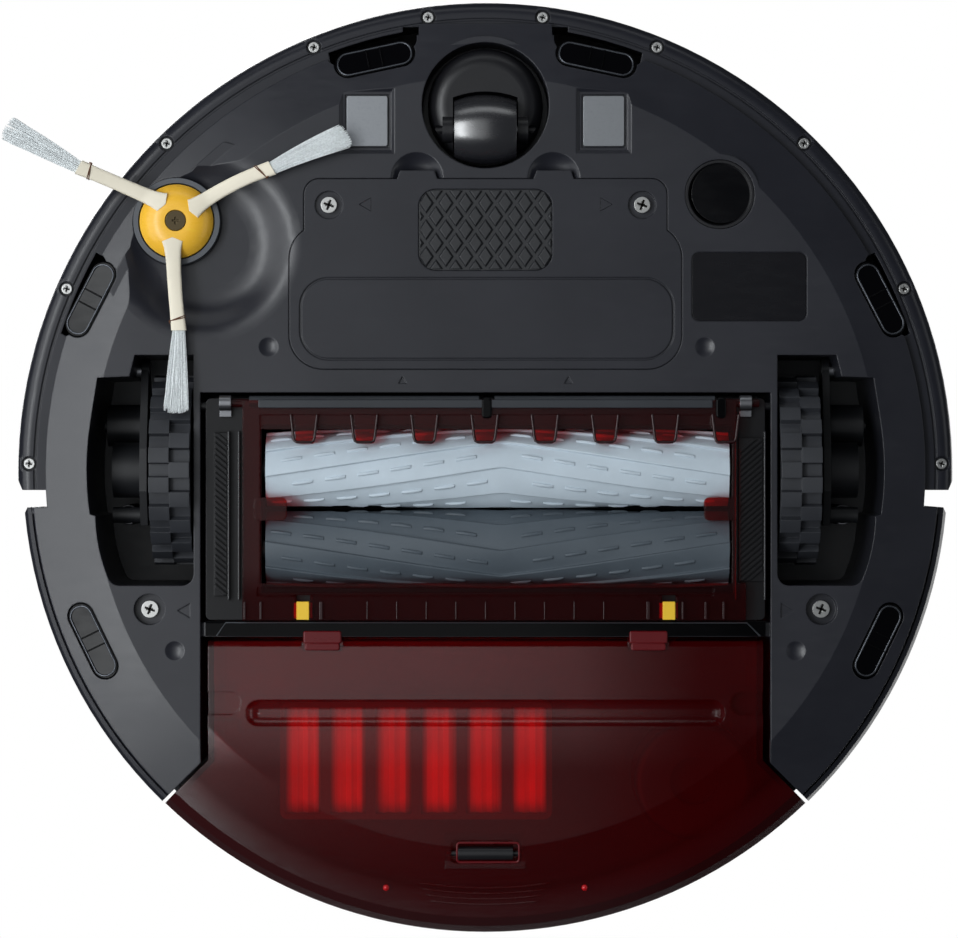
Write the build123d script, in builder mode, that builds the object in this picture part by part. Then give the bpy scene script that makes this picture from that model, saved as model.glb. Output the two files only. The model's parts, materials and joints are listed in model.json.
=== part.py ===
"""Round robot vacuum cleaner, 352 mm across and 91.4 mm high, as an assembly of separate pieces.

The frame stands on the floor: +Z is up, the origin is on the floor under the centre of the round body.
The front, with the bumper and the caster, faces -Y. The robot's own left side is +X.
All lengths are in millimetres.
"""

from math import cos, radians, sin, sqrt
import os

from build123d import *

os.makedirs("parts", exist_ok=True)

# ---------------------------------------------------------------- driving dimensions
BUMPER_R = 176.0  # outside of the bumper, the widest part
HOUSING_R = 171.0  # upright rear wall of the base, inside the rear shell
SHELL_R = 174.3  # outside of the rear shell and the bin
TOTAL_HEIGHT = 91.4
WALL = 2.5

BELLY_Z = 9.0  # flat underside
BELLY_R = 147.0  # where the flat underside turns up into its border
EDGE_R = 170.2
EDGE_Z = 16.3
SKIRT_Z = 19.5  # foot of the upright rear wall
DECK_Z = 79.0  # top of the chassis walls
CEILING_Z = 76.0  # roof of the bays, under their 2 mm ceiling

FRONT_LIP_R = 165.0  # thin lip of the underside in front, under the bumper's own lip
FRONT_LIP_TOP_Z = 16.6
FRONT_WALL_R = 158.0
SKIRT_Y = 14.0  # the rear skirt starts here, behind the bumper's ends
BUMPER_END_Y = 7.5

BAY_X = 106.5  # half width of the bay for the cleaning head and the bin
BAY_FRONT_Y = -29.0
BAY_CORNER_Y = 109.5  # from here the bay opens out at 45 degrees

WHEEL_X = 117.6
WHEEL_R = 36.0
WHEEL_WIDTH = 15.2
ARM_PIVOT_Y, ARM_PIVOT_Z = -38.0, 38.0

CASTER_Y = -136.5  # swivel axis
CASTER_POCKET_R = 23.8
CASTER_TRAIL = 9.0
CASTER_R = 13.0

BRUSH_X, BRUSH_Y = -115.5, -93.0  # side brush axis
BRUSH_SEAT_R, BRUSH_SEAT_Z = 16.6, 15.3
BOWL_X, BOWL_Y, BOWL_R = -105.5, -84.5, 37.0

FLOOR_SENSOR_X, FLOOR_SENSOR_Y, FLOOR_SENSOR_R = 87.5, -103.0, 13.0
CONTACT_X, CONTACT_Y = 44.2, -130.4

EXTRACTOR_R = 15.0
EXTRACTOR_Z = 18.6
EXTRACTOR_LEFT_X, EXTRACTOR_RIGHT_X = -82.0, 91.0
FRONT_EXTRACTOR_Y, REAR_EXTRACTOR_Y = -0.7, 29.7

BIN_TOP_Z = 74.5
BIN_R = 174.0

PIN_CLEARANCE = 0.05

# The cleaning head floats about two short pins at its front, in sockets in the walls of the bay.
HEAD_PIVOT_Y, HEAD_PIVOT_Z = -24.0, 12.0
HEAD_PIVOT_R = 1.8


def save(builder, name):
    """Labels a finished piece and writes its STEP file."""
    builder.part.label = name
    export_step(builder.part, f"parts/{name}.step")


def side_name(side):
    """The robot's own left is +X."""
    return "left" if side > 0 else "right"


# ---------------------------------------------------------------- shared outlines
COVER_UPPER_X, COVER_LOWER_X = 68.0, 73.5
COVER_FRONT_Y, COVER_STEP_Y, COVER_REAR_Y = -109.0, -92.0, -37.5

with BuildSketch() as cover_outline:
    with Locations((0, (COVER_FRONT_Y + COVER_REAR_Y) / 2 - 10)):
        RectangleRounded(2 * COVER_UPPER_X, COVER_REAR_Y - COVER_FRONT_Y - 20, 6)
    with Locations((0, (COVER_STEP_Y + COVER_REAR_Y) / 2)):
        RectangleRounded(2 * COVER_LOWER_X, COVER_REAR_Y - COVER_STEP_Y, 13)

BAY_FLARE = 80.0
CROSS_BAR_Y, CROSS_BAR_WIDTH = 57.0, 5.2
with BuildSketch() as bay_outline:
    with BuildLine():
        Polyline(
            (-BAY_X, BAY_FRONT_Y),
            (BAY_X, BAY_FRONT_Y),
            (BAY_X, BAY_CORNER_Y),
            (BAY_X + BAY_FLARE, BAY_CORNER_Y + BAY_FLARE),
            (-BAY_X - BAY_FLARE, BAY_CORNER_Y + BAY_FLARE),
            (-BAY_X, BAY_CORNER_Y),
            close=True,
        )
    make_face()

WELL_INNER_X = 109.0
WELL_REAR_Y = 43.2
WELL_CORNER_R = 4.5
with BuildSketch() as well_outline:
    with BuildLine():
        Polyline(
            (WELL_INNER_X, WELL_REAR_Y),
            (WELL_INNER_X, -43.0),
            (131.0, -43.0),
            (133.0, -35.0),
            (145.0, -34.5),
            (147.6, -18.0),
        )
        ThreePointArc((147.6, -18.0), (149.0, 0.0), (147.8, 16.5))
        Line((147.8, 16.5), (145.6, 17.2))
        ThreePointArc((145.6, 17.2), (144.3, 29.5), (139.6, WELL_REAR_Y))
        Line((139.6, WELL_REAR_Y), (WELL_INNER_X, WELL_REAR_Y))
    make_face()
    fillet(well_outline.vertices().sort_by(Axis.Y)[-2:], WELL_CORNER_R)

# The six cliff sensors: (name, centre x, centre y, angle of the long side)
CLIFF_SENSORS = [
    ("front", 41.5, -154.0, 12.0),
    ("side", 148.0, -64.0, 62.5),
    ("rear", 147.0, 64.0, -64.0),
]
CLIFF_LENGTH, CLIFF_WIDTH = 30.0, 9.5

SCREW_X, SCREW_Y = 125.5, 52.0  # chassis screws
COVER_SCREW_X, COVER_SCREW_Y = 58.5, -99.0
SCOOP_R = 14.0  # finger scoops, cut by balls that sit mostly below the belly
SCOOP_SPOTS = [(-25.5, COVER_FRONT_Y, BELLY_Z - 10.0), (25.5, COVER_FRONT_Y, BELLY_Z - 10.0)]
TAB_WIDTH, TAB_REACH, TAB_THICK = 15.6, 2.9, 0.7  # the cover's tabs, which reach into the scoops

# The dish round the side brush: its tool also trims the corner of the battery cover.
BOWL_DEPTH = 6.0
with BuildPart() as bowl_tool:
    with BuildSketch(Plane.XZ.offset(-BOWL_Y)):
        with BuildLine():
            Line((BOWL_X, 0), (BOWL_X, BELLY_Z + BOWL_DEPTH))
            Line((BOWL_X, BELLY_Z + BOWL_DEPTH), (BOWL_X + 17, BELLY_Z + BOWL_DEPTH))
            Bezier(
                (BOWL_X + 17, BELLY_Z + BOWL_DEPTH),
                (BOWL_X + 28, BELLY_Z + BOWL_DEPTH),
                (BOWL_X + 28, BELLY_Z),
                (BOWL_X + BOWL_R, BELLY_Z),
            )
            Line((BOWL_X + BOWL_R, BELLY_Z), (BOWL_X + BOWL_R, 0))
            Line((BOWL_X + BOWL_R, 0), (BOWL_X, 0))
        make_face()
    revolve(axis=Axis((BOWL_X, BOWL_Y, 0), (0, 0, 1)))

# ---------------------------------------------------------------- chassis base
BAY_WALL = 2.0
FRONT_BULGE_X, FRONT_BULGE_R = 25.0, 167.5  # the lip reaches further out round the caster
PAD_TOP_Z = 14.5  # thickened belly round the battery
CASTER_BOSS_R = 26.2
CASTER_BOSS_TOP_Z = 36.0
STEM_R = 4.0
WALL_FOOT_STEPS = [(BELLY_R, 10.0), (160.0, 14.5), (HOUSING_R - 1, 21.5)]

with BuildPart() as chassis_base:
    with BuildSketch(Plane.XZ):
        with BuildLine():
            Polyline(
                (0, BELLY_Z),
                (BELLY_R, BELLY_Z),
                (EDGE_R, EDGE_Z),
                (HOUSING_R, SKIRT_Z),
                (HOUSING_R, DECK_Z),
                (HOUSING_R - WALL, DECK_Z),
                (HOUSING_R - WALL, SKIRT_Z + 0.8),
                (EDGE_R - 2.4, EDGE_Z + 2.2),
                (BELLY_R - 0.4, BELLY_Z + WALL),
                (0, BELLY_Z + WALL),
                close=True,
            )
        make_face()
    revolve(axis=Axis.Z)

    # Room for the bumper, outside and above the front lip.
    with BuildSketch():
        Circle(BUMPER_R + 10)
        Circle(FRONT_LIP_R, mode=Mode.SUBTRACT)
        with Locations((0, SKIRT_Y + BUMPER_R)):
            Rectangle(3 * BUMPER_R, 2 * BUMPER_R, mode=Mode.SUBTRACT)
        with Locations((0, -FRONT_BULGE_R / 2)):
            Rectangle(2 * FRONT_BULGE_X, FRONT_BULGE_R, mode=Mode.SUBTRACT)
    extrude(amount=DECK_Z + 1, mode=Mode.SUBTRACT)
    with BuildSketch(Plane.XY.offset(FRONT_LIP_TOP_Z)):
        Circle(BUMPER_R)
        Circle(FRONT_WALL_R, mode=Mode.SUBTRACT)
        with Locations((0, SKIRT_Y + BUMPER_R)):
            Rectangle(3 * BUMPER_R, 2 * BUMPER_R, mode=Mode.SUBTRACT)
    extrude(amount=DECK_Z, mode=Mode.SUBTRACT)

    # Front wall behind the bumper, and the walls that close the rear skirt's ends.
    with BuildSketch(Plane.XY.offset(13)):
        Circle(FRONT_WALL_R)
        Circle(FRONT_WALL_R - WALL, mode=Mode.SUBTRACT)
        with Locations((0, SKIRT_Y + WALL + BUMPER_R)):
            Rectangle(3 * BUMPER_R, 2 * BUMPER_R, mode=Mode.SUBTRACT)
    extrude(amount=DECK_Z - 13)
    with BuildSketch(Plane.XZ.offset(-SKIRT_Y)):
        with BuildLine():
            Polyline(
                (FRONT_WALL_R - WALL, 14.0),
                (FRONT_WALL_R, 14.0),
                (FRONT_LIP_R, 16.5),
                (EDGE_R, 17.5),
                (HOUSING_R - 1, SKIRT_Z + 1),
                (HOUSING_R - 1, DECK_Z),
                (FRONT_WALL_R - WALL, DECK_Z),
                close=True,
            )
        make_face()
        mirror(about=Plane.YZ)
    extrude(amount=-WALL)

    # Walls of the bay and the wheel wells, started just inside the sloping underside.
    for radius, foot_z in WALL_FOOT_STEPS:
        with BuildSketch(Plane.XY.offset(foot_z)):
            add(bay_outline.sketch)
            offset(amount=BAY_WALL, kind=Kind.INTERSECTION)
            Circle(radius, mode=Mode.INTERSECT)
        extrude(amount=CEILING_Z + BAY_WALL - foot_z)
    with BuildSketch(Plane.XY.offset(11)):
        add(well_outline.sketch)
        offset(amount=BAY_WALL, kind=Kind.INTERSECTION)
        mirror(about=Plane.YZ)
    extrude(amount=CEILING_Z + BAY_WALL - 11)

    # Thickened belly round the battery, the side brush bowl, the sensors and the screws.
    with BuildSketch(Plane.XY.offset(BELLY_Z)):
        add(cover_outline.sketch)
        offset(amount=11)
        Circle(BELLY_R - 1, mode=Mode.INTERSECT)
    extrude(amount=PAD_TOP_Z - BELLY_Z)
    with BuildSketch(Plane.XY.offset(BELLY_Z + 2)):
        with Locations((BOWL_X, BOWL_Y)):
            Circle(BOWL_R + 2)
        Circle(FRONT_WALL_R - 1, mode=Mode.INTERSECT)
    extrude(amount=BOWL_DEPTH + 2)
    with BuildSketch(Plane.XY.offset(BELLY_Z)):
        with Locations((FLOOR_SENSOR_X, FLOOR_SENSOR_Y)):
            Circle(FLOOR_SENSOR_R + 2)
    extrude(amount=26)
    with BuildSketch(Plane.XY.offset(BELLY_Z)):
        with Locations((-SCREW_X, SCREW_Y), (SCREW_X, SCREW_Y)):
            Circle(8)
    extrude(amount=8)
    with BuildSketch(Plane.XY.offset(13)):
        with Locations((0, CASTER_Y)):
            Circle(CASTER_BOSS_R)
    extrude(amount=CASTER_BOSS_TOP_Z - 13)
    with BuildSketch(Plane.XY.offset(CASTER_BOSS_TOP_Z)):
        with Locations((0, CASTER_Y)):
            Circle(9)
    extrude(amount=12)

    # The bay and the wells.
    with BuildSketch():
        add(bay_outline.sketch)
        add(well_outline.sketch)
        add(well_outline.sketch.mirror(Plane.YZ))
    extrude(amount=CEILING_Z, mode=Mode.SUBTRACT)

    # Bar across the bay, between the cleaning head and the bin.
    with BuildSketch(Plane.XZ.offset(-CROSS_BAR_Y)):
        with BuildLine():
            Polyline(
                (-BAY_X - 1, 12),
                (-98, 9.4),
                (98, 9.4),
                (BAY_X + 1, 12),
                (BAY_X + 1, 20),
                (-BAY_X - 1, 20),
                close=True,
            )
        make_face()
    extrude(amount=-CROSS_BAR_WIDTH)

    # Battery compartment: a seat for the cover and a smaller opening inside it.
    with BuildSketch(Plane.XY.offset(BELLY_Z)):
        add(cover_outline.sketch)
    extrude(amount=2.2, mode=Mode.SUBTRACT)
    with BuildSketch():
        add(cover_outline.sketch)
        offset(amount=-4)
        with Locations((-COVER_SCREW_X, COVER_SCREW_Y), (COVER_SCREW_X, COVER_SCREW_Y)):
            Circle(9, mode=Mode.SUBTRACT)
    extrude(amount=BELLY_Z + BOWL_DEPTH + 6, mode=Mode.SUBTRACT)
    with Locations((-COVER_SCREW_X, COVER_SCREW_Y, 0), (COVER_SCREW_X, COVER_SCREW_Y, 0)):
        Cylinder(1.4, 40, mode=Mode.SUBTRACT)

    # Finger scoops in front of the battery cover.
    with Locations(*SCOOP_SPOTS):
        Sphere(SCOOP_R, mode=Mode.SUBTRACT)

    # Side brush bowl: a shallow dish with a rounded rim, and the hole for its gearbox.
    add(bowl_tool.part, mode=Mode.SUBTRACT)
    with BuildSketch(Plane.XY.offset(BRUSH_SEAT_Z)):
        with Locations((BRUSH_X, BRUSH_Y)):
            Circle(BRUSH_SEAT_R + 1)
    extrude(amount=FRONT_LIP_TOP_Z - BRUSH_SEAT_Z)
    with BuildSketch():
        with Locations((BRUSH_X, BRUSH_Y)):
            Circle(BRUSH_SEAT_R)
    extrude(amount=BRUSH_SEAT_Z, mode=Mode.SUBTRACT)
    with Locations((BRUSH_X, BRUSH_Y, BRUSH_SEAT_Z)):
        Cylinder(4, 10, mode=Mode.SUBTRACT)

    # Caster pocket and the bore for its stem.
    with Locations((0, CASTER_Y, 33.5 / 2)):
        Cylinder(CASTER_POCKET_R, 33.5, mode=Mode.SUBTRACT)
    with Locations((0, CASTER_Y, 40)):
        Cylinder(STEM_R + PIN_CLEARANCE, 30, mode=Mode.SUBTRACT)

    # Floor sensor cup, charging contact seats in bevelled recesses, label recess.
    with Locations((FLOOR_SENSOR_X, FLOOR_SENSOR_Y, 16)):
        Cylinder(FLOOR_SENSOR_R, 32, mode=Mode.SUBTRACT)
    with BuildSketch(Plane.XY.offset(BELLY_Z)):
        with Locations((-CONTACT_X, CONTACT_Y), (CONTACT_X, CONTACT_Y)):
            Rectangle(16.4, 19.8)
    extrude(amount=1.6, mode=Mode.SUBTRACT)
    with BuildSketch(Plane.XY.offset(BELLY_Z)):
        with Locations((-CONTACT_X, CONTACT_Y), (CONTACT_X, CONTACT_Y)):
            Rectangle(20.6, 24.4)
    extrude(amount=1.1, taper=50, mode=Mode.SUBTRACT)
    with BuildSketch(Plane.XY.offset(BELLY_Z)):
        with Locations((98.5, -68.5)):
            RectangleRounded(43, 26, 3)
    extrude(amount=0.6, mode=Mode.SUBTRACT)

    # Cliff sensor pockets, open towards the bumper on the front half.
    for _, x, y, angle in CLIFF_SENSORS:
        with BuildSketch():
            with Locations(Location((x, y, 0), (0, 0, angle)), Location((-x, y, 0), (0, 0, -angle))):
                SlotOverall(CLIFF_LENGTH + 1.0, CLIFF_WIDTH + 1.0)
        extrude(amount=22, mode=Mode.SUBTRACT)
    # In front the pockets are wider, and open under the bumper's lip.
    for _, x, y, angle in CLIFF_SENSORS[:2]:
        reach = 1 + 5.5 / sqrt(x * x + y * y)
        with BuildSketch():
            with Locations(
                Location((x * reach, y * reach, 0), (0, 0, angle)),
                Location((-x * reach, y * reach, 0), (0, 0, -angle)),
            ):
                SlotOverall(CLIFF_LENGTH + 5, CLIFF_WIDTH + 1)
        extrude(amount=22, mode=Mode.SUBTRACT)

    # Screw wells with their pilot holes, moulding dimples and the arrow marks beside the screws.
    with Locations((-SCREW_X, SCREW_Y, BELLY_Z), (SCREW_X, SCREW_Y, BELLY_Z)):
        Cylinder(5.8, 7, mode=Mode.SUBTRACT)
        Cylinder(1.4, 30, mode=Mode.SUBTRACT)
    with Locations((-81, -46, 3.0), (82, -46, 3.0), (-116, 67.5, 3.0), (116, 67.5, 3.0)):
        Sphere(7.0, mode=Mode.SUBTRACT)
    with BuildSketch(Plane.XY.offset(BELLY_Z)):
        with Locations(Location((-111.9, 52.5, 0), (0, 0, 180)), Location((111.9, 52.5, 0))):
            RegularPolygon(3.2, 3)
        with Locations(Location((-31, -33.2, 0), (0, 0, -90)), Location((31, -33.2, 0), (0, 0, -90))):
            RegularPolygon(1.8, 3)
    extrude(amount=0.5, mode=Mode.SUBTRACT)

    # Bores for the wheel arms' pivot pins, through the outer half of each well.
    with Locations(
        Location((137, ARM_PIVOT_Y, ARM_PIVOT_Z), (0, 90, 0)),
        Location((-137, ARM_PIVOT_Y, ARM_PIVOT_Z), (0, 90, 0)),
    ):
        Cylinder(3.0, 32, mode=Mode.SUBTRACT)

    # Sockets for the cleaning head's pivot pins.
    with Locations(Location((0, HEAD_PIVOT_Y, HEAD_PIVOT_Z), (0, 90, 0))):
        Cylinder(HEAD_PIVOT_R + PIN_CLEARANCE, 2 * BAY_X + 3, mode=Mode.SUBTRACT)
save(chassis_base, "chassis_base")

# ---------------------------------------------------------------- rear shell and bumper
RIM_TOP_Z = 82.0
RIM_BOTTOM_Z = 79.6
RIM_R = 161.5  # inner edge of the flanges on the bumper and the rear shell
EDGE_FILLET = 3.4

with BuildPart() as rear_shell:
    with BuildSketch(Plane.XZ):
        with BuildLine():
            Polyline(
                (HOUSING_R + 0.2, 18.6),
                (SHELL_R - 1.4, 19.2),
                (SHELL_R, 22),
                (SHELL_R, RIM_TOP_Z - EDGE_FILLET),
            )
            RadiusArc((SHELL_R, RIM_TOP_Z - EDGE_FILLET), (SHELL_R - EDGE_FILLET, RIM_TOP_Z), -EDGE_FILLET)
            Polyline(
                (SHELL_R - EDGE_FILLET, RIM_TOP_Z),
                (RIM_R, RIM_TOP_Z),
                (RIM_R, RIM_BOTTOM_Z),
                (HOUSING_R + 0.2, RIM_BOTTOM_Z),
                (HOUSING_R + 0.2, 18.6),
            )
        make_face()
    revolve(axis=Axis.Z)
    with BuildSketch():
        with Locations((0, SKIRT_Y - BUMPER_R)):
            Rectangle(3 * BUMPER_R, 2 * BUMPER_R)
    extrude(amount=TOTAL_HEIGHT, mode=Mode.SUBTRACT)
    # Bevelled ends beside the bumper's gap.
    with BuildSketch():
        with BuildLine():
            Polyline(
                (HOUSING_R + 0.6, SKIRT_Y - 1),
                (SHELL_R + 1, SKIRT_Y - 1),
                (SHELL_R + 1, SKIRT_Y + 5),
                close=True,
            )
        make_face()
        mirror(about=Plane.YZ)
    extrude(amount=TOTAL_HEIGHT, mode=Mode.SUBTRACT)
    with BuildSketch():
        add(bay_outline.sketch)
    extrude(amount=CEILING_Z, mode=Mode.SUBTRACT)
save(rear_shell, "rear_shell")

BUMPER_FOOT_Z = 17.0
BUMPER_SCREW_R = 171.4
BUMPER_SCREW_ANGLES = [7.2, 22.1, 44.3, 66.6, 89.2]
WINDOW_LOW_Z, WINDOW_HIGH_Z = 42.0, 58.0
WINDOW_HALF_ANGLE = 62.0
LIP_NOTCH_X, LIP_NOTCH_Y = 31.0, 166.4
FLANGE_OPEN_R = 167.4
BUMPER_BEVEL_X, BUMPER_BEVEL_Y = 2.0, 4.0  # bevel of the bumper's ends


def bumper_screw_spots(height):
    """Places of the screws in the bumper's lip, at a height, each side of the front."""
    spots = []
    for angle in BUMPER_SCREW_ANGLES:
        across = BUMPER_SCREW_R * sin(radians(angle))
        ahead = -BUMPER_SCREW_R * cos(radians(angle))
        spots += [(across, ahead, height), (-across, ahead, height)]
    return spots


FAN_REACH = 2 * BUMPER_R
with BuildSketch() as window_fan:
    with BuildLine():
        Polyline(
            (0, 0),
            (FAN_REACH * sin(radians(WINDOW_HALF_ANGLE)), -FAN_REACH * cos(radians(WINDOW_HALF_ANGLE))),
            (0, -2 * FAN_REACH),
            (-FAN_REACH * sin(radians(WINDOW_HALF_ANGLE)), -FAN_REACH * cos(radians(WINDOW_HALF_ANGLE))),
            close=True,
        )
    make_face()

with BuildPart() as bumper_shell:
    with BuildSketch(Plane.XZ):
        with BuildLine():
            Line((RIM_R, BUMPER_FOOT_Z), (BUMPER_R - 5, BUMPER_FOOT_Z))
            RadiusArc((BUMPER_R - 5, BUMPER_FOOT_Z), (BUMPER_R, BUMPER_FOOT_Z + 5), -5)
            Line((BUMPER_R, BUMPER_FOOT_Z + 5), (BUMPER_R, RIM_TOP_Z - EDGE_FILLET))
            RadiusArc((BUMPER_R, RIM_TOP_Z - EDGE_FILLET), (BUMPER_R - EDGE_FILLET, RIM_TOP_Z), -EDGE_FILLET)
            Polyline(
                (BUMPER_R - EDGE_FILLET, RIM_TOP_Z),
                (RIM_R, RIM_TOP_Z),
                (RIM_R, RIM_BOTTOM_Z),
                (BUMPER_R - WALL, RIM_BOTTOM_Z),
                (BUMPER_R - WALL, BUMPER_FOOT_Z + 5),
                (BUMPER_R - WALL - 3, BUMPER_FOOT_Z + 2.4),
                (RIM_R, BUMPER_FOOT_Z + 2.4),
                (RIM_R, BUMPER_FOOT_Z),
            )
        make_face()
    revolve(axis=Axis.Z)
    # The lip carries a shallow groove and the screw bosses.
    with BuildSketch(Plane.XZ):
        with Locations((BUMPER_SCREW_R - 2.2, BUMPER_FOOT_Z)):
            Rectangle(1.0, 1.2)
    revolve(axis=Axis.Z, mode=Mode.SUBTRACT)
    with BuildSketch(Plane.XY.offset(BUMPER_FOOT_Z + 1)):
        with Locations(*[(x, y) for x, y, _ in bumper_screw_spots(0)]):
            Circle(4.0)
        Circle(BUMPER_R - 1, mode=Mode.INTERSECT)
    extrude(amount=8)
    with Locations(*bumper_screw_spots(BUMPER_FOOT_Z)):
        Cylinder(2.8, 4.4, mode=Mode.SUBTRACT)
        Cylinder(1.2, 30, mode=Mode.SUBTRACT)
    # The lip's flange leaves room for the wall of the caster pocket.
    with BuildSketch(Plane.XY.offset(BUMPER_FOOT_Z - 1)):
        with Locations((0, -LIP_NOTCH_Y / 2)):
            Rectangle(2 * LIP_NOTCH_X, LIP_NOTCH_Y)
    extrude(amount=5, mode=Mode.SUBTRACT)
    # Windows in the flange, under which the cliff sensors' pockets lie open.
    with BuildSketch(Plane.XY.offset(BUMPER_FOOT_Z - 1)):
        for _, x, y, angle in CLIFF_SENSORS[:2]:
            with Locations(Location((x, y, 0), (0, 0, angle)), Location((-x, y, 0), (0, 0, -angle))):
                Rectangle(CLIFF_LENGTH + 3, 34)
        Circle(FLANGE_OPEN_R, mode=Mode.INTERSECT)
    extrude(amount=5, mode=Mode.SUBTRACT)
    # Seat of the sensor window.
    with BuildSketch(Plane.XY.offset(WINDOW_LOW_Z - 0.2)):
        add(window_fan.sketch)
        Circle(BUMPER_R - 1.3, mode=Mode.SUBTRACT)
    extrude(amount=WINDOW_HIGH_Z - WINDOW_LOW_Z + 0.4, mode=Mode.SUBTRACT)
    with BuildSketch():
        with Locations((0, BUMPER_END_Y + BUMPER_R)):
            Rectangle(3 * BUMPER_R, 2 * BUMPER_R)
        with BuildLine():
            Polyline(
                (BUMPER_R - BUMPER_BEVEL_X, BUMPER_END_Y + 1),
                (BUMPER_R + 1, BUMPER_END_Y + 1),
                (BUMPER_R + 1, BUMPER_END_Y - BUMPER_BEVEL_Y),
                (BUMPER_R, BUMPER_END_Y - BUMPER_BEVEL_Y),
                (BUMPER_R - BUMPER_BEVEL_X, BUMPER_END_Y),
                close=True,
            )
        make_face()
        mirror(about=Plane.YZ)
    extrude(amount=TOTAL_HEIGHT, mode=Mode.SUBTRACT)
save(bumper_shell, "bumper_shell")

with BuildPart() as bumper_window:
    with BuildSketch(Plane.XY.offset(WINDOW_LOW_Z)):
        add(window_fan.sketch)
        Circle(BUMPER_R + 0.1, mode=Mode.INTERSECT)
        Circle(BUMPER_R - 1.2, mode=Mode.SUBTRACT)
    extrude(amount=WINDOW_HIGH_Z - WINDOW_LOW_Z)
save(bumper_window, "bumper_window")

with BuildPart() as screw_cross:
    Box(2.6, 0.7, 1.6)
    Box(0.7, 2.6, 1.6)


def pan_screw(spot, head_radius, shank_radius, length):
    """A cross-head screw driven upwards: its head's underside is at the spot."""
    x, y, z = spot
    with Locations((x, y, z - 0.8)):
        Cylinder(head_radius, 1.6)
    with Locations((x, y, z + length / 2)):
        Cylinder(shank_radius, length)
    with Locations((x, y, z - 1.6)):
        add(screw_cross.part, mode=Mode.SUBTRACT)


with BuildPart() as bumper_screws:
    for spot in bumper_screw_spots(BUMPER_FOOT_Z + 2.2):
        pan_screw(spot, 1.95, 1.15, 7)
save(bumper_screws, "bumper_screws")

# Four coil springs hold the bumper forward, between the front wall and its inside.
SPRING_ANGLES = [-52, -24, 24, 52]
SPRING_FREE = 14.0
with BuildPart() as bumper_spring:
    with BuildLine() as spring_line:
        Helix(pitch=2.8, height=SPRING_FREE - 1.2, radius=3.0)
    with BuildSketch(Plane(origin=spring_line.line @ 0, z_dir=spring_line.line % 0)):
        Circle(0.4)
    sweep(is_frenet=True)
with BuildPart() as bumper_springs:
    for angle in SPRING_ANGLES:
        start = FRONT_WALL_R + 0.6
        outward = Vector(sin(radians(angle)), -cos(radians(angle)), 0)
        foot = Plane(origin=outward * start + Vector(0, 0, 30), z_dir=outward)
        add(bumper_spring.part.moved(foot.location))
save(bumper_springs, "bumper_springs")

# ---------------------------------------------------------------- top side
TOP_RIM_R = 166.5
TOP_Z = 89.2
FACE_R = 95.5
FACE_SEAT_Z = 87.6
BUTTON_TRAVEL = 1.0
CLEAN_R = 20.0
SIDE_BUTTON_X, SIDE_BUTTON_LENGTH, SIDE_BUTTON_WIDTH = 41.0, 17.0, 11.0
HANDLE_AXIS_Y, HANDLE_AXIS_Z = 57.0, 86.4
HANDLE_REAR_Y = 80.0
HANDLE_HALF = 41.0
HANDLE_PIN_R = 1.5
POCKET_HALF = 43.5
POCKET_FRONT_Y, POCKET_REAR_Y = 51.8, 84.0

with BuildPart() as top_cover:
    with BuildSketch(Plane.XZ):
        with BuildLine():
            Polyline(
                (FRONT_WALL_R - 0.5, DECK_Z + 0.1),
                (FRONT_WALL_R - 0.5, RIM_TOP_Z + 0.4),
                (TOP_RIM_R, RIM_TOP_Z + 0.4),
                (TOP_RIM_R, RIM_TOP_Z + 1.6),
                (158.5, TOP_Z),
                (FACE_R + 0.4, TOP_Z),
                (FACE_R + 0.4, FACE_SEAT_Z),
                (0, FACE_SEAT_Z),
                (0, FACE_SEAT_Z - 2),
                (FACE_R + 3, FACE_SEAT_Z - 2),
                (FACE_R + 3, TOP_Z - 2),
                (152, TOP_Z - 2),
                (FRONT_WALL_R - WALL, 84),
                (FRONT_WALL_R - WALL, DECK_Z + 0.1),
                close=True,
            )
        make_face()
    revolve(axis=Axis.Z)
    # Pocket for the carry handle, with the bores for its pin.
    with BuildSketch(Plane.XY.offset(80)):
        with Locations((0, (POCKET_FRONT_Y + POCKET_REAR_Y) / 2)):
            RectangleRounded(2 * POCKET_HALF + 4, POCKET_REAR_Y - POCKET_FRONT_Y + 4, 6)
    extrude(amount=FACE_SEAT_Z - 80)
    with BuildSketch(Plane.XY.offset(82)):
        with Locations((0, (POCKET_FRONT_Y + POCKET_REAR_Y) / 2)):
            RectangleRounded(2 * POCKET_HALF, POCKET_REAR_Y - POCKET_FRONT_Y, 4)
    extrude(amount=10, mode=Mode.SUBTRACT)
    with Locations(Location((0, HANDLE_AXIS_Y, HANDLE_AXIS_Z - 1), (0, 90, 0))):
        Cylinder(HANDLE_PIN_R + 0.02, 2 * POCKET_HALF + 3, mode=Mode.SUBTRACT)
    # Button holes.
    with BuildSketch(Plane.XY.offset(80)):
        Circle(CLEAN_R + 0.6)
        with Locations((-SIDE_BUTTON_X, 0), (SIDE_BUTTON_X, 0)):
            SlotOverall(SIDE_BUTTON_LENGTH + 1.2, SIDE_BUTTON_WIDTH + 1.2, rotation=90)
    extrude(amount=10, mode=Mode.SUBTRACT)
save(top_cover, "top_cover")

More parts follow.
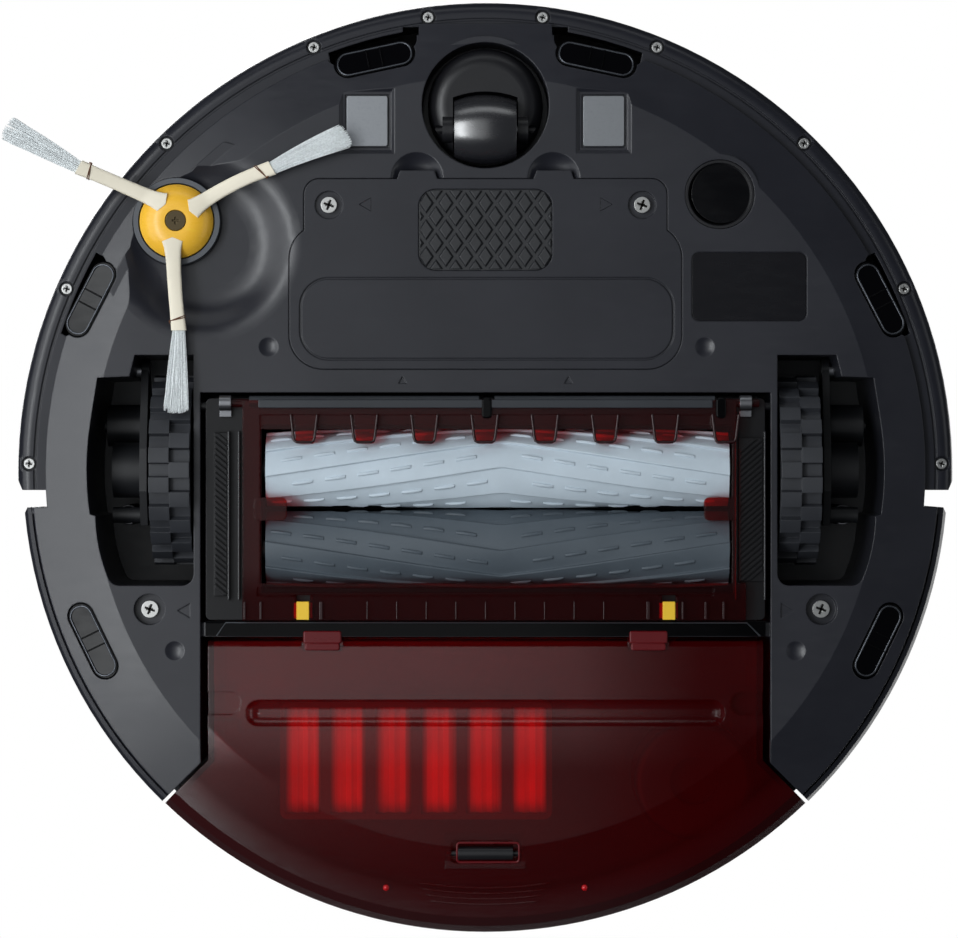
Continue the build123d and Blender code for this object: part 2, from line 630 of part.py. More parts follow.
CAMERA_Y = -70.0
with BuildPart() as faceplate:
    with BuildSketch(Plane.XY.offset(FACE_SEAT_Z + 0.05)):
        Circle(FACE_R)
        Circle(CLEAN_R + 0.4, mode=Mode.SUBTRACT)
        with Locations((-SIDE_BUTTON_X, 0), (SIDE_BUTTON_X, 0)):
            SlotOverall(SIDE_BUTTON_LENGTH + 0.8, SIDE_BUTTON_WIDTH + 0.8, rotation=90, mode=Mode.SUBTRACT)
        with Locations((0, (POCKET_FRONT_Y + POCKET_REAR_Y) / 2)):
            RectangleRounded(2 * POCKET_HALF, POCKET_REAR_Y - POCKET_FRONT_Y, 4, mode=Mode.SUBTRACT)
        with Locations((0, CAMERA_Y)):
            SlotOverall(40.6, 24.6, mode=Mode.SUBTRACT)
    extrude(amount=2.4)
    chamfer(faceplate.faces().sort_by(Axis.Z)[-1].outer_wire().edges(), 0.8)
save(faceplate, "faceplate")

with BuildPart() as trim_ring:
    with BuildSketch(Plane.XY.offset(TOP_Z)):
        Circle(FACE_R + 5.5)
        Circle(FACE_R + 1.0, mode=Mode.SUBTRACT)
    extrude(amount=1.4)
    chamfer(trim_ring.faces().sort_by(Axis.Z)[-1].edges(), 0.5)
save(trim_ring, "trim_ring")

with BuildPart() as camera_window:
    with BuildSketch(Plane.XY.offset(FACE_SEAT_Z + 0.05)):
        with Locations((0, CAMERA_Y)):
            SlotOverall(40, 24)
    extrude(amount=TOTAL_HEIGHT - FACE_SEAT_Z - 0.05)
    fillet(camera_window.faces().sort_by(Axis.Z)[-1].edges(), 1.6)
save(camera_window, "camera_window")

with BuildPart() as clean_button:
    with BuildSketch(Plane.XY.offset(FACE_SEAT_Z - 1.6)):
        Circle(CLEAN_R)
    extrude(amount=4.8)
    fillet(clean_button.faces().sort_by(Axis.Z)[-1].edges(), 0.8)
    with Locations((0, 0, FACE_SEAT_Z - 4.5)):
        Cylinder(5, 7)
save(clean_button, "clean_button")

for side in (-1, 1):
    name = "dock_button" if side < 0 else "spot_button"
    with BuildPart() as side_button:
        with BuildSketch(Plane.XY.offset(FACE_SEAT_Z - 1.6)):
            with Locations((side * SIDE_BUTTON_X, 0)):
                SlotOverall(SIDE_BUTTON_LENGTH, SIDE_BUTTON_WIDTH, rotation=90)
        extrude(amount=4.6)
        fillet(side_button.faces().sort_by(Axis.Z)[-1].edges(), 0.6)
        with Locations((side * SIDE_BUTTON_X, 0, FACE_SEAT_Z - 4)):
            Cylinder(3, 6)
    save(side_button, name)

with BuildPart() as carry_handle:
    with BuildSketch(Plane.XY.offset(86.2)):
        with Locations((0, (HANDLE_AXIS_Y + HANDLE_REAR_Y) / 2)):
            RectangleRounded(2 * HANDLE_HALF, HANDLE_REAR_Y - HANDLE_AXIS_Y, 3)
        with Locations((0, HANDLE_AXIS_Y + 6)):
            RectangleRounded(2 * HANDLE_HALF - 16, 20, 3, mode=Mode.SUBTRACT)
    extrude(amount=3.4)
    with Locations(
        Location((-HANDLE_HALF + 4, HANDLE_AXIS_Y, HANDLE_AXIS_Z - 1), (0, 90, 0)),
        Location((HANDLE_HALF - 4, HANDLE_AXIS_Y, HANDLE_AXIS_Z - 1), (0, 90, 0)),
    ):
        Cylinder(2.8, 8)
        Cylinder(HANDLE_PIN_R + PIN_CLEARANCE, 12, mode=Mode.SUBTRACT)
save(carry_handle, "carry_handle")

with BuildPart() as handle_pin:
    with Locations(Location((0, HANDLE_AXIS_Y, HANDLE_AXIS_Z - 1), (0, 90, 0))):
        Cylinder(HANDLE_PIN_R, 2 * POCKET_HALF + 2.6)
save(handle_pin, "handle_pin")

# ---------------------------------------------------------------- fittings of the underside
COVER_GAP = 0.25
GROOVE_WIDTH, GROOVE_DEPTH = 0.8, 0.5
GRIP_X, GRIP_FRONT_Y, GRIP_REAR_Y = 25.0, -105.0, -74.5
GRIP_SEAT = 0.7

with BuildPart() as battery_cover:
    with BuildSketch(Plane.XY.offset(BELLY_Z)):
        add(cover_outline.sketch)
        offset(amount=-COVER_GAP)
    extrude(amount=2.1)
    with BuildSketch(Plane.XY.offset(BELLY_Z)):
        with Locations(*[(x, y - TAB_REACH / 2 + 0.5) for x, y, _ in SCOOP_SPOTS]):
            Trapezoid(TAB_WIDTH, TAB_REACH + 1, 70, rotation=180)
    extrude(amount=TAB_THICK)
    add(bowl_tool.part, mode=Mode.SUBTRACT)
    # Seat of the grip patch and the groove of the rear panel.
    with BuildSketch(Plane.XY.offset(BELLY_Z)):
        with Locations((0, (GRIP_FRONT_Y + GRIP_REAR_Y) / 2)):
            RectangleRounded(2 * GRIP_X, GRIP_REAR_Y - GRIP_FRONT_Y, 6.5)
    extrude(amount=GRIP_SEAT, mode=Mode.SUBTRACT)
    with BuildSketch(Plane.XY.offset(BELLY_Z)):
        with Locations((0.5, -56.5)):
            RectangleRounded(140, 31, 11)
            RectangleRounded(140 - 2 * GROOVE_WIDTH, 31 - 2 * GROOVE_WIDTH, 10.2, mode=Mode.SUBTRACT)
    extrude(amount=GROOVE_DEPTH, mode=Mode.SUBTRACT)
    # Screw wells.
    with Locations((-COVER_SCREW_X, COVER_SCREW_Y, BELLY_Z), (COVER_SCREW_X, COVER_SCREW_Y, BELLY_Z)):
        Cylinder(5.2, 2.4, mode=Mode.SUBTRACT)
        Cylinder(1.6, 20, mode=Mode.SUBTRACT)
save(battery_cover, "battery_cover")

with BuildPart() as underside_screws:
    for side in (-1, 1):
        pan_screw((side * COVER_SCREW_X, COVER_SCREW_Y, BELLY_Z + 1.15), 3.0, 1.4, 5.5)
        pan_screw((side * SCREW_X, SCREW_Y, BELLY_Z + 3.5), 3.2, 1.4, 8)
save(underside_screws, "underside_screws")

DIAMOND_PITCH_X, DIAMOND_PITCH_Y = 7.4, 10.0
with BuildPart() as cover_grip:
    with BuildSketch(Plane.XY.offset(BELLY_Z + GRIP_SEAT - 0.4)):
        with Locations((0, (GRIP_FRONT_Y + GRIP_REAR_Y) / 2)):
            RectangleRounded(2 * GRIP_X - 0.3, GRIP_REAR_Y - GRIP_FRONT_Y - 0.3, 6.3)
    extrude(amount=0.4)
    with BuildSketch(Plane.XY.offset(BELLY_Z + GRIP_SEAT - 0.4)) as diamonds:
        with Locations((0, (GRIP_FRONT_Y + GRIP_REAR_Y) / 2)):
            with GridLocations(DIAMOND_PITCH_X, DIAMOND_PITCH_Y, 8, 4):
                RegularPolygon(2.9, 4, rotation=90)
            with GridLocations(DIAMOND_PITCH_X, DIAMOND_PITCH_Y, 7, 3):
                RegularPolygon(2.9, 4, rotation=90)
        with Locations((0, (GRIP_FRONT_Y + GRIP_REAR_Y) / 2)):
            RectangleRounded(2 * GRIP_X - 0.8, GRIP_REAR_Y - GRIP_FRONT_Y - 0.8, 6, mode=Mode.INTERSECT)
    extrude(amount=-0.8)
save(cover_grip, "cover_grip")

with BuildPart() as battery_pack:
    with BuildSketch(Plane.XY.offset(16.4)):
        with Locations((0, -72)):
            RectangleRounded(124, 54, 5)
    extrude(amount=36)
    fillet(battery_pack.faces().sort_by(Axis.Z)[-1].edges(), 3)
save(battery_pack, "battery_pack")

with BuildPart() as charging_contacts:
    with BuildSketch(Plane.XY.offset(BELLY_Z + 0.5)):
        with Locations((-CONTACT_X, CONTACT_Y), (CONTACT_X, CONTACT_Y)):
            RectangleRounded(15.2, 18.7, 0.8)
    extrude(amount=1.1)
save(charging_contacts, "charging_contacts")

# Windows of the cliff sensors, cut to the slope of the underside's border.
with BuildPart() as cliff_sensor_windows:
    with BuildSketch(Plane.XZ):
        with BuildLine():
            Polyline((138, 8.7), (147, 9.4), (172, 16.9), (172, 18.3), (147, 10.8), (138, 10.1), close=True)
        make_face()
    revolve(axis=Axis.Z)
    with BuildSketch() as cliff_outlines:
        for _, x, y, angle in CLIFF_SENSORS:
            with Locations(Location((x, y, 0), (0, 0, angle)), Location((-x, y, 0), (0, 0, -angle))):
                SlotOverall(CLIFF_LENGTH, CLIFF_WIDTH)
    extrude(amount=40, mode=Mode.INTERSECT)
save(cliff_sensor_windows, "cliff_sensor_windows")

with BuildPart() as floor_sensor_cup:
    with BuildSketch(Plane.XZ.offset(-FLOOR_SENSOR_Y)):
        with BuildLine():
            Polyline(
                (FLOOR_SENSOR_X, 31),
                (FLOOR_SENSOR_X + FLOOR_SENSOR_R - 0.2, 31),
                (FLOOR_SENSOR_X + FLOOR_SENSOR_R - 0.2, BELLY_Z + 0.2),
                (FLOOR_SENSOR_X + FLOOR_SENSOR_R - 1.2, BELLY_Z + 0.2),
                (FLOOR_SENSOR_X + 6.5, 29),
                (FLOOR_SENSOR_X, 29),
                close=True,
            )
        make_face()
    revolve(axis=Axis((FLOOR_SENSOR_X, FLOOR_SENSOR_Y, 0), (0, 0, 1)))
save(floor_sensor_cup, "floor_sensor_cup")

with BuildPart() as main_board:
    with BuildSketch(Plane.XY.offset(58)):
        with Locations((0, -88)):
            Rectangle(190, 78)
        with Locations((-103, -127), (103, -127)):
            Rectangle(60, 20, mode=Mode.SUBTRACT)
    extrude(amount=1.6)
    for x, y, width, depth, height in [(-40, -80, 24, 24, 3), (30, -92, 14, 14, 2), (60, -70, 30, 8, 10)]:
        with BuildSketch(Plane.XY.offset(59.6)):
            with Locations((x, y)):
                Rectangle(width, depth)
        extrude(amount=height)
save(main_board, "main_board")

# ---------------------------------------------------------------- wheels and their arms
ARM_PIN_R = 3.0
STUB_R = 4.0
TREAD_BLOCKS = 20
BLOCK_LENGTH = 5.9  # round the tyre, about as long as the gap to the next block
TREAD_ROOT_R = 33.4
DRUM_R = 10.5
MOTOR_Y, MOTOR_Z = -17.0, 47.0

with BuildPart() as wheel_arm_pins:
    for side in (-1, 1):
        with Locations(Location((side * 139.3, ARM_PIVOT_Y, ARM_PIVOT_Z), (0, 90, 0))):
            Cylinder(ARM_PIN_R - 0.02, 23)
save(wheel_arm_pins, "wheel_arm_pins")

for side in (-1, 1):
    inner_face = Plane(origin=(side * 127.9, 0, 0), x_dir=(0, 1, 0), z_dir=(1, 0, 0))
    with BuildPart() as wheel_arm:
        with BuildSketch(inner_face):
            with BuildLine():
                Polyline(
                    (ARM_PIVOT_Y - 1.5, ARM_PIVOT_Z - 4),
                    (-8, WHEEL_R - 11),
                    (8, WHEEL_R - 11),
                    (21, 30),
                    (21, 36),
                    (10, 50),
                    (-20, 54),
                    (ARM_PIVOT_Y - 1.5, ARM_PIVOT_Z + 4),
                    close=True,
                )
            make_face()
            with Locations((ARM_PIVOT_Y, ARM_PIVOT_Z)):
                Circle(4.4)
        extrude(amount=side * 2.8)
        with BuildSketch(inner_face.offset(side * 2.8)):
            with Locations((0, WHEEL_R)):
                Circle(DRUM_R)
            with Locations((17, 32)):
                Circle(3)
        extrude(amount=side * 10.5)
        with Locations(Location((side * 130, ARM_PIVOT_Y, ARM_PIVOT_Z), (0, 90, 0))):
            Cylinder(ARM_PIN_R + PIN_CLEARANCE, 12, mode=Mode.SUBTRACT)
        with Locations(Location((side * 130, 0, WHEEL_R), (0, 90, 0))):
            Cylinder(STUB_R + PIN_CLEARANCE, 18, mode=Mode.SUBTRACT)
    save(wheel_arm, f"{side_name(side)}_wheel_arm")

    with BuildPart() as wheel_motor:
        with Locations(Location((side * 137.5, MOTOR_Y, MOTOR_Z), (0, 90, 0))):
            Cylinder(8.0, 13.6)
        with Locations(Location((side * 145.0, MOTOR_Y, MOTOR_Z), (0, 90, 0))):
            Cylinder(2.5, 1.4)
    save(wheel_motor, f"{side_name(side)}_wheel_motor")

    with BuildPart() as arm_spring:
        with BuildLine() as coil_line:
            Helix(pitch=3.0, height=36, radius=3.4, center=(side * 136, 17, 36.5))
        with BuildSketch(Plane(origin=coil_line.line @ 0, z_dir=coil_line.line % 0)):
            Circle(0.5)
        sweep(is_frenet=True)
    save(arm_spring, f"{side_name(side)}_arm_spring")

    inner_edge_x = side * (WHEEL_X - WHEEL_WIDTH / 2)
    hub_face = Plane(origin=(inner_edge_x, 0, WHEEL_R), x_dir=(0, 1, 0), z_dir=(side, 0, 0))
    with BuildPart() as wheel_rim:
        with BuildSketch(hub_face.offset(0.8)):
            Circle(30.4)
            Circle(27.4, mode=Mode.SUBTRACT)
        extrude(amount=WHEEL_WIDTH - 1.6)
        with BuildSketch(hub_face.offset(5)):
            Circle(28)
            with PolarLocations(18.5, 6):
                Circle(5.5, mode=Mode.SUBTRACT)
        extrude(amount=4)
        with BuildSketch(hub_face.offset(1.5)):
            Circle(9.5)
        extrude(amount=WHEEL_WIDTH - 2)
        with BuildSketch(hub_face.offset(WHEEL_WIDTH - 1)):
            Circle(STUB_R)
        extrude(amount=12)
    save(wheel_rim, f"{side_name(side)}_wheel_rim")

    with BuildPart() as wheel_tyre:
        with BuildSketch(hub_face):
            Circle(TREAD_ROOT_R)
            Circle(30.45, mode=Mode.SUBTRACT)
        extrude(amount=WHEEL_WIDTH)
        for row in (0, 1):
            with BuildSketch(hub_face.offset(row * WHEEL_WIDTH / 2)):
                with PolarLocations(TREAD_ROOT_R + 0.8, TREAD_BLOCKS, start_angle=row * 180 / TREAD_BLOCKS):
                    Rectangle(3.6, BLOCK_LENGTH)
                Circle(WHEEL_R, mode=Mode.INTERSECT)
            extrude(amount=WHEEL_WIDTH / 2)
    save(wheel_tyre, f"{side_name(side)}_wheel_tyre")

# ---------------------------------------------------------------- caster
FORK_R = 21.6
FORK_TOP_Z = 32.6
AXLE_Y = CASTER_Y + CASTER_TRAIL
CASTER_WHEEL_HALF = 11.6
CASTER_CROWN = 2.2  # how much smaller the wheel is at its sides than in the middle
SLOT_CLEARANCE = 1.2


# Half sections of the wheel and of its slot, on the level of the axle.
with BuildSketch(Plane.XY.offset(CASTER_R)) as wheel_section:
    with BuildLine():
        side_y = AXLE_Y + CASTER_R - CASTER_CROWN
        Line((-CASTER_WHEEL_HALF, side_y), (-CASTER_WHEEL_HALF, AXLE_Y))
        Line((-CASTER_WHEEL_HALF, AXLE_Y), (CASTER_WHEEL_HALF, AXLE_Y))
        Line((CASTER_WHEEL_HALF, AXLE_Y), (CASTER_WHEEL_HALF, side_y))
        ThreePointArc((CASTER_WHEEL_HALF, side_y), (0, AXLE_Y + CASTER_R), (-CASTER_WHEEL_HALF, side_y))
    make_face()
with BuildSketch(Plane.XY.offset(CASTER_R)) as slot_section:
    with BuildLine():
        slot_half = CASTER_WHEEL_HALF + 0.5
        slot_y = side_y + SLOT_CLEARANCE
        Line((-slot_half, slot_y), (-slot_half, AXLE_Y))
        Line((-slot_half, AXLE_Y), (slot_half, AXLE_Y))
        Line((slot_half, AXLE_Y), (slot_half, slot_y))
        ThreePointArc((slot_half, slot_y), (0, AXLE_Y + CASTER_R + SLOT_CLEARANCE), (-slot_half, slot_y))
    make_face()

with BuildPart() as caster_fork:
    with BuildSketch(Plane.XY.offset(11)):
        with Locations((0, CASTER_Y)):
            Circle(FORK_R)
    extrude(amount=FORK_TOP_Z - 11)
    fillet(caster_fork.faces().sort_by(Axis.Z)[0].edges(), 7)
    with Locations((0, CASTER_Y, FORK_TOP_Z + 6.5)):
        Cylinder(STEM_R, 13.2)
    # Cheeks for the axle.
    with BuildSketch(Plane.YZ.offset(-CASTER_WHEEL_HALF - 4.4)):
        with Locations((AXLE_Y, CASTER_R)):
            Circle(5.0)
        with Locations((AXLE_Y, CASTER_R + 6)):
            Rectangle(10, 12)
    extrude(amount=2 * CASTER_WHEEL_HALF + 8.8)
    # Slot for the wheel: barrel-shaped like it in front, and open at the back.
    add(slot_section.sketch)
    revolve(axis=Axis((0, AXLE_Y, CASTER_R), (1, 0, 0)), mode=Mode.SUBTRACT)
    with BuildSketch(Plane.YZ.offset(-CASTER_WHEEL_HALF - 0.5)):
        with Locations((AXLE_Y + 9, CASTER_R)):
            Rectangle(18, 2 * CASTER_R)
    extrude(amount=2 * CASTER_WHEEL_HALF + 1.0, mode=Mode.SUBTRACT)
    with Locations(Location((0, AXLE_Y, CASTER_R), (0, 90, 0))):
        Cylinder(1.6, 60, mode=Mode.SUBTRACT)
save(caster_fork, "caster_fork")

with BuildPart() as caster_wheel:
    add(wheel_section.sketch)
    revolve(axis=Axis((0, AXLE_Y, CASTER_R), (1, 0, 0)))
    with Locations(Location((0, AXLE_Y, CASTER_R), (0, 90, 0))):
        Cylinder(1.55, 30, mode=Mode.SUBTRACT)
save(caster_wheel, "caster_wheel")

with BuildPart() as caster_axle:
    with Locations(Location((0, AXLE_Y, CASTER_R), (0, 90, 0))):
        Cylinder(1.5, 2 * CASTER_WHEEL_HALF + 7.6)
save(caster_axle, "caster_axle")

# ---------------------------------------------------------------- side brush
HUB_R = 13.8
HUB_LOW_Z, HUB_HIGH_Z = 5.6, 14.6
BRUSH_SHAFT_R = 3.0
RUBBER_END = 41.0
BRISTLE_END = 72.5
ARM_ANGLES = [90, 210, 330]

with BuildPart() as side_brush_gearbox:
    with BuildSketch(Plane.XY.offset(19.2)):
        with Locations((BRUSH_X + 13, BRUSH_Y + 11)):
            Circle(15)
        with Locations((BRUSH_X, BRUSH_Y)):
            Circle(6.8)
    extrude(amount=14)
    with BuildSketch(Plane.XY.offset(33.2)):
        with Locations((BRUSH_X + 14, BRUSH_Y + 12)):
            Circle(11.5)
    extrude(amount=20)
    with Locations((BRUSH_X, BRUSH_Y, 22)):
        Cylinder(BRUSH_SHAFT_R + PIN_CLEARANCE, 16, mode=Mode.SUBTRACT)
save(side_brush_gearbox, "side_brush_gearbox")

with BuildPart() as side_brush_ring:
    with BuildSketch(Plane.XY.offset(10.6)):
        with Locations((BRUSH_X, BRUSH_Y)):
            Circle(16.2)
            Circle(14.3, mode=Mode.SUBTRACT)
    extrude(amount=4.7)
save(side_brush_ring, "side_brush_ring")

with BuildPart() as side_brush_hub:
    with BuildSketch(Plane.XZ.offset(-BRUSH_Y)):
        with BuildLine():
            Line((BRUSH_X, HUB_HIGH_Z), (BRUSH_X + HUB_R, HUB_HIGH_Z))
            Line((BRUSH_X + HUB_R, HUB_HIGH_Z), (BRUSH_X + HUB_R, 10.5))
            ThreePointArc((BRUSH_X + HUB_R, 10.5), (BRUSH_X + 10, 6.9), (BRUSH_X + 4.4, HUB_LOW_Z))
            Line((BRUSH_X + 4.4, HUB_LOW_Z), (BRUSH_X, HUB_LOW_Z))
            Line((BRUSH_X, HUB_LOW_Z), (BRUSH_X, HUB_HIGH_Z))
        make_face()
    revolve(axis=Axis((BRUSH_X, BRUSH_Y, 0), (0, 0, 1)))
    with Locations((BRUSH_X, BRUSH_Y, HUB_HIGH_Z + 6)):
        Cylinder(BRUSH_SHAFT_R, 12)
    with Locations((BRUSH_X, BRUSH_Y, HUB_LOW_Z)):
        Cylinder(4.0, 3.6, mode=Mode.SUBTRACT)
        Cylinder(1.5, 20, mode=Mode.SUBTRACT)
save(side_brush_hub, "side_brush_hub")

with BuildPart() as side_brush_screw:
    pan_screw((BRUSH_X, BRUSH_Y, HUB_LOW_Z + 1.7), 3.7, 1.4, 6)
save(side_brush_screw, "side_brush_screw")


# Sections across an arm that runs along +X: (reach, height, width, thickness)
ARM_SECTIONS = [(HUB_R + 0.1, 7.6, 6.6, 2.2), (28, 5.8, 5.6, 2.2), (RUBBER_END, 4.5, 5.8, 2.0)]
BRISTLE_SECTIONS = [(RUBBER_END, 4.5, 4.6, 1.6), (BRISTLE_END, 1.6, 9.5, 1.2)]

with BuildPart() as brush_arm:
    for reach, height, width, thickness in ARM_SECTIONS:
        with BuildSketch(Plane(origin=(reach, 0, height), x_dir=(0, 0, 1), z_dir=(1, 0, 0))):
            Rectangle(thickness, width)
    loft(ruled=True)
with BuildPart() as brush_bristles:
    for reach, height, width, thickness in BRISTLE_SECTIONS:
        with BuildSketch(Plane(origin=(reach, 0, height), x_dir=(0, 0, 1), z_dir=(1, 0, 0))):
            Rectangle(thickness, width)
    loft(ruled=True)
for name, bundle in (("side_brush_arms", brush_arm), ("side_brush_bristles", brush_bristles)):
    with BuildPart() as brush_set:
        for angle in ARM_ANGLES:
            add(bundle.part.moved(Location((BRUSH_X, BRUSH_Y, 0), (0, 0, angle))))
    save(brush_set, name)

# ---------------------------------------------------------------- cleaning head
HEAD_X = 104.5
HEAD_FRONT_Y, HEAD_REAR_Y = -26.8, 56.0
HEAD_LOW_Z, HEAD_HIGH_Z = 10.0, 45.0
CHAMBER_LEFT_X, CHAMBER_RIGHT_X = -83.6, 92.6
CHAMBER_R = 16.2
ROLLER_STUB_R = 3.5
GRIP_LOW_Z = 7.4
EXTRACTOR_YS = [FRONT_EXTRACTOR_Y, REAR_EXTRACTOR_Y]

with BuildPart() as head_housing:
    with BuildSketch(Plane.XY.offset(HEAD_LOW_Z)):
        with Locations((0, (HEAD_FRONT_Y + HEAD_REAR_Y) / 2)):
            RectangleRounded(2 * HEAD_X, HEAD_REAR_Y - HEAD_FRONT_Y, 2)
    extrude(amount=HEAD_HIGH_Z - HEAD_LOW_Z)
    # Roller chamber, open downwards.
    with BuildSketch(Plane.YZ.offset(CHAMBER_LEFT_X)):
        with Locations(*[(y, EXTRACTOR_Z) for y in EXTRACTOR_YS]):
            Circle(CHAMBER_R)
        with Locations((sum(EXTRACTOR_YS) / 2, EXTRACTOR_Z / 2)):
            Rectangle(EXTRACTOR_YS[1] - EXTRACTOR_YS[0] + 2 * CHAMBER_R, EXTRACTOR_Z)
    extrude(amount=CHAMBER_RIGHT_X - CHAMBER_LEFT_X, mode=Mode.SUBTRACT)
    # Suction duct to the bin, and the room for the gearbox.
    with BuildSketch(Plane.XY.offset(32)):
        with Locations((0, 36)):
            Rectangle(150, 42)
    extrude(amount=10, mode=Mode.SUBTRACT)
    with BuildSketch(Plane.XY.offset(13)):
        with Locations((-94.5, 14.5)):
            Rectangle(17.4, 78)
    extrude(amount=40, mode=Mode.SUBTRACT)
    for y in EXTRACTOR_YS:
        with Locations(Location((0, y, EXTRACTOR_Z), (0, 90, 0))):
            Cylinder(ROLLER_STUB_R + PIN_CLEARANCE, 200, mode=Mode.SUBTRACT)
    # Pivot pins.
    for side in (-1, 1):
        with Locations(Location((side * (HEAD_X + 0.9), HEAD_PIVOT_Y, HEAD_PIVOT_Z), (0, 90, 0))):
            Cylinder(HEAD_PIVOT_R, 4.6)
    # Raised finger pads beside the rollers, with slanting ridges.
    for centre_x, width, front_y, rear_y, slant in [(-98.6, 5.3, -14, 47, 40), (99.2, 9.3, -12, 41.6, -40)]:
        with BuildSketch(Plane.XY.offset(GRIP_LOW_Z + 0.7)):
            with Locations((centre_x, (front_y + rear_y) / 2)):
                Rectangle(width, rear_y - front_y)
        extrude(amount=HEAD_LOW_Z - GRIP_LOW_Z)
        with BuildSketch(Plane.XY.offset(GRIP_LOW_Z)):
            with Locations((centre_x, (front_y + rear_y) / 2)):
                with GridLocations(1, 2.2, 1, int((rear_y - front_y) / 2.2)):
                    Rectangle(30, 1.1, rotation=slant)
                Rectangle(width - 0.8, rear_y - front_y - 0.8, mode=Mode.INTERSECT)
        extrude(amount=0.9)
save(head_housing, "head_housing")

with BuildPart() as head_gearbox:
    with BuildSketch(Plane.XY.offset(25)):
        with Locations((-94.5, 14.5)):
            RectangleRounded(16.8, 76, 3)
    extrude(amount=17)
    with Locations(Location((-94.5, 14.5, 53), (90, 0, 0))):
        Cylinder(8, 50)
    with BuildSketch(Plane.XY.offset(40)):
        with Locations((-94.5, 14.5)):
            Rectangle(12, 44)
    extrude(amount=8)
save(head_gearbox, "head_gearbox")

FRAME_LEFT_X, FRAME_RIGHT_X = -90.5, 93.4
FRAME_FRONT_Y, FRAME_REAR_Y = -26.0, 56.0
FRAME_LOW_Z, FRAME_HIGH_Z = 4.8, 9.4
WINDOW_LEFT_X, WINDOW_RIGHT_X = -84.0, 91.8
WINDOW_FRONT_Y, WINDOW_REAR_Y = -15.2, 42.2
FRAME_HINGE_Y, FRAME_HINGE_Z = -25.0, 7.3
FRAME_PIN_R = 1.5
LATCH_XS = {"left": 68.3, "right": -68.0}
LATCH_FRONT_Y, LATCH_REAR_Y = 49.0, 55.7
LATCH_TRAVEL = 2.0
PRONG_PITCH, FIRST_PRONG_X, PRONG_Y = 22.3, -67.0, -15.2
PRONG_WIDTH, PRONG_LENGTH, PRONG_LOW_Z = 8.8, 10.8, 3.4

with BuildPart() as brush_frame:
    with BuildSketch(Plane.XY.offset(FRAME_LOW_Z)):
        with Locations(((FRAME_LEFT_X + FRAME_RIGHT_X) / 2, (FRAME_FRONT_Y + FRAME_REAR_Y) / 2)):
            Rectangle(FRAME_RIGHT_X - FRAME_LEFT_X, FRAME_REAR_Y - FRAME_FRONT_Y)
        with Locations((FRAME_RIGHT_X, (WINDOW_REAR_Y + FRAME_REAR_Y) / 2)):
            Rectangle(7, FRAME_REAR_Y - WINDOW_REAR_Y)
        with Locations(((WINDOW_LEFT_X + WINDOW_RIGHT_X) / 2, (WINDOW_FRONT_Y + WINDOW_REAR_Y) / 2)):
            Rectangle(WINDOW_RIGHT_X - WINDOW_LEFT_X, WINDOW_REAR_Y - WINDOW_FRONT_Y, mode=Mode.SUBTRACT)
    extrude(amount=FRAME_HIGH_Z - FRAME_LOW_Z)
    # The front bar steps back behind a rounded nose that carries the hinge.
    with BuildSketch(Plane.XY.offset(FRAME_LOW_Z)):
        with Locations((0, (-20.6 + WINDOW_FRONT_Y) / 2)):
            Rectangle(168, WINDOW_FRONT_Y + 20.6)
        with Locations((0, 45.4)):
            Rectangle(170, 3.2)
    extrude(amount=1.5, mode=Mode.SUBTRACT)
    with Locations(Location((1.5, FRAME_HINGE_Y, FRAME_HINGE_Z), (0, 90, 0))):
        Cylinder(FRAME_PIN_R, 201)
    # Prongs that keep the rollers in, under the nip of the front one.
    for count in range(8):
        with BuildSketch(Plane.XY.offset(PRONG_LOW_Z)) as prong:
            with Locations((FIRST_PRONG_X + count * PRONG_PITCH, PRONG_Y)):
                Trapezoid(PRONG_WIDTH, PRONG_LENGTH, 85)
            fillet(prong.vertices().sort_by(Axis.Y)[-2:], 1.4)
        extrude(amount=2.8)
    # Blocks between the roller ends.
    with BuildSketch(Plane.XY.offset(4.0)):
        with Locations((-80, 14.5), (87.4, 14.5)):
            RectangleRounded(12, 8.6, 2)
    extrude(amount=3.0)
    for latch_x in LATCH_XS.values():
        with BuildSketch(Plane.XY.offset(FRAME_LOW_Z)):
            with Locations((latch_x, (LATCH_FRONT_Y - LATCH_TRAVEL - 0.4 + FRAME_REAR_Y) / 2)):
                Rectangle(5.3, FRAME_REAR_Y - LATCH_FRONT_Y + LATCH_TRAVEL + 0.4)
        extrude(amount=FRAME_HIGH_Z - FRAME_LOW_Z, mode=Mode.SUBTRACT)
        with BuildSketch(Plane.XY.offset(6.2)):
            with Locations((latch_x, (LATCH_FRONT_Y - LATCH_TRAVEL - 0.4 + FRAME_REAR_Y) / 2)):
                Rectangle(7.6, FRAME_REAR_Y - LATCH_FRONT_Y + LATCH_TRAVEL + 0.4)
        extrude(amount=2.0, mode=Mode.SUBTRACT)
save(brush_frame, "brush_frame")

for side, latch_x in LATCH_XS.items():
    with BuildPart() as frame_latch:
        with BuildSketch(Plane.XY.offset(FRAME_LOW_Z - 0.6)):
            with Locations((latch_x, (LATCH_FRONT_Y + LATCH_REAR_Y) / 2)):
                Rectangle(4.6, LATCH_REAR_Y - LATCH_FRONT_Y)
        extrude(amount=FRAME_HIGH_Z - FRAME_LOW_Z + 0.5)
        with BuildSketch(Plane.XY.offset(6.6)):
            with Locations((latch_x, (LATCH_FRONT_Y + LATCH_REAR_Y) / 2)):
                Rectangle(6.8, LATCH_REAR_Y - LATCH_FRONT_Y - 1)
        extrude(amount=1.2)
    save(frame_latch, f"frame_latch_{side}")

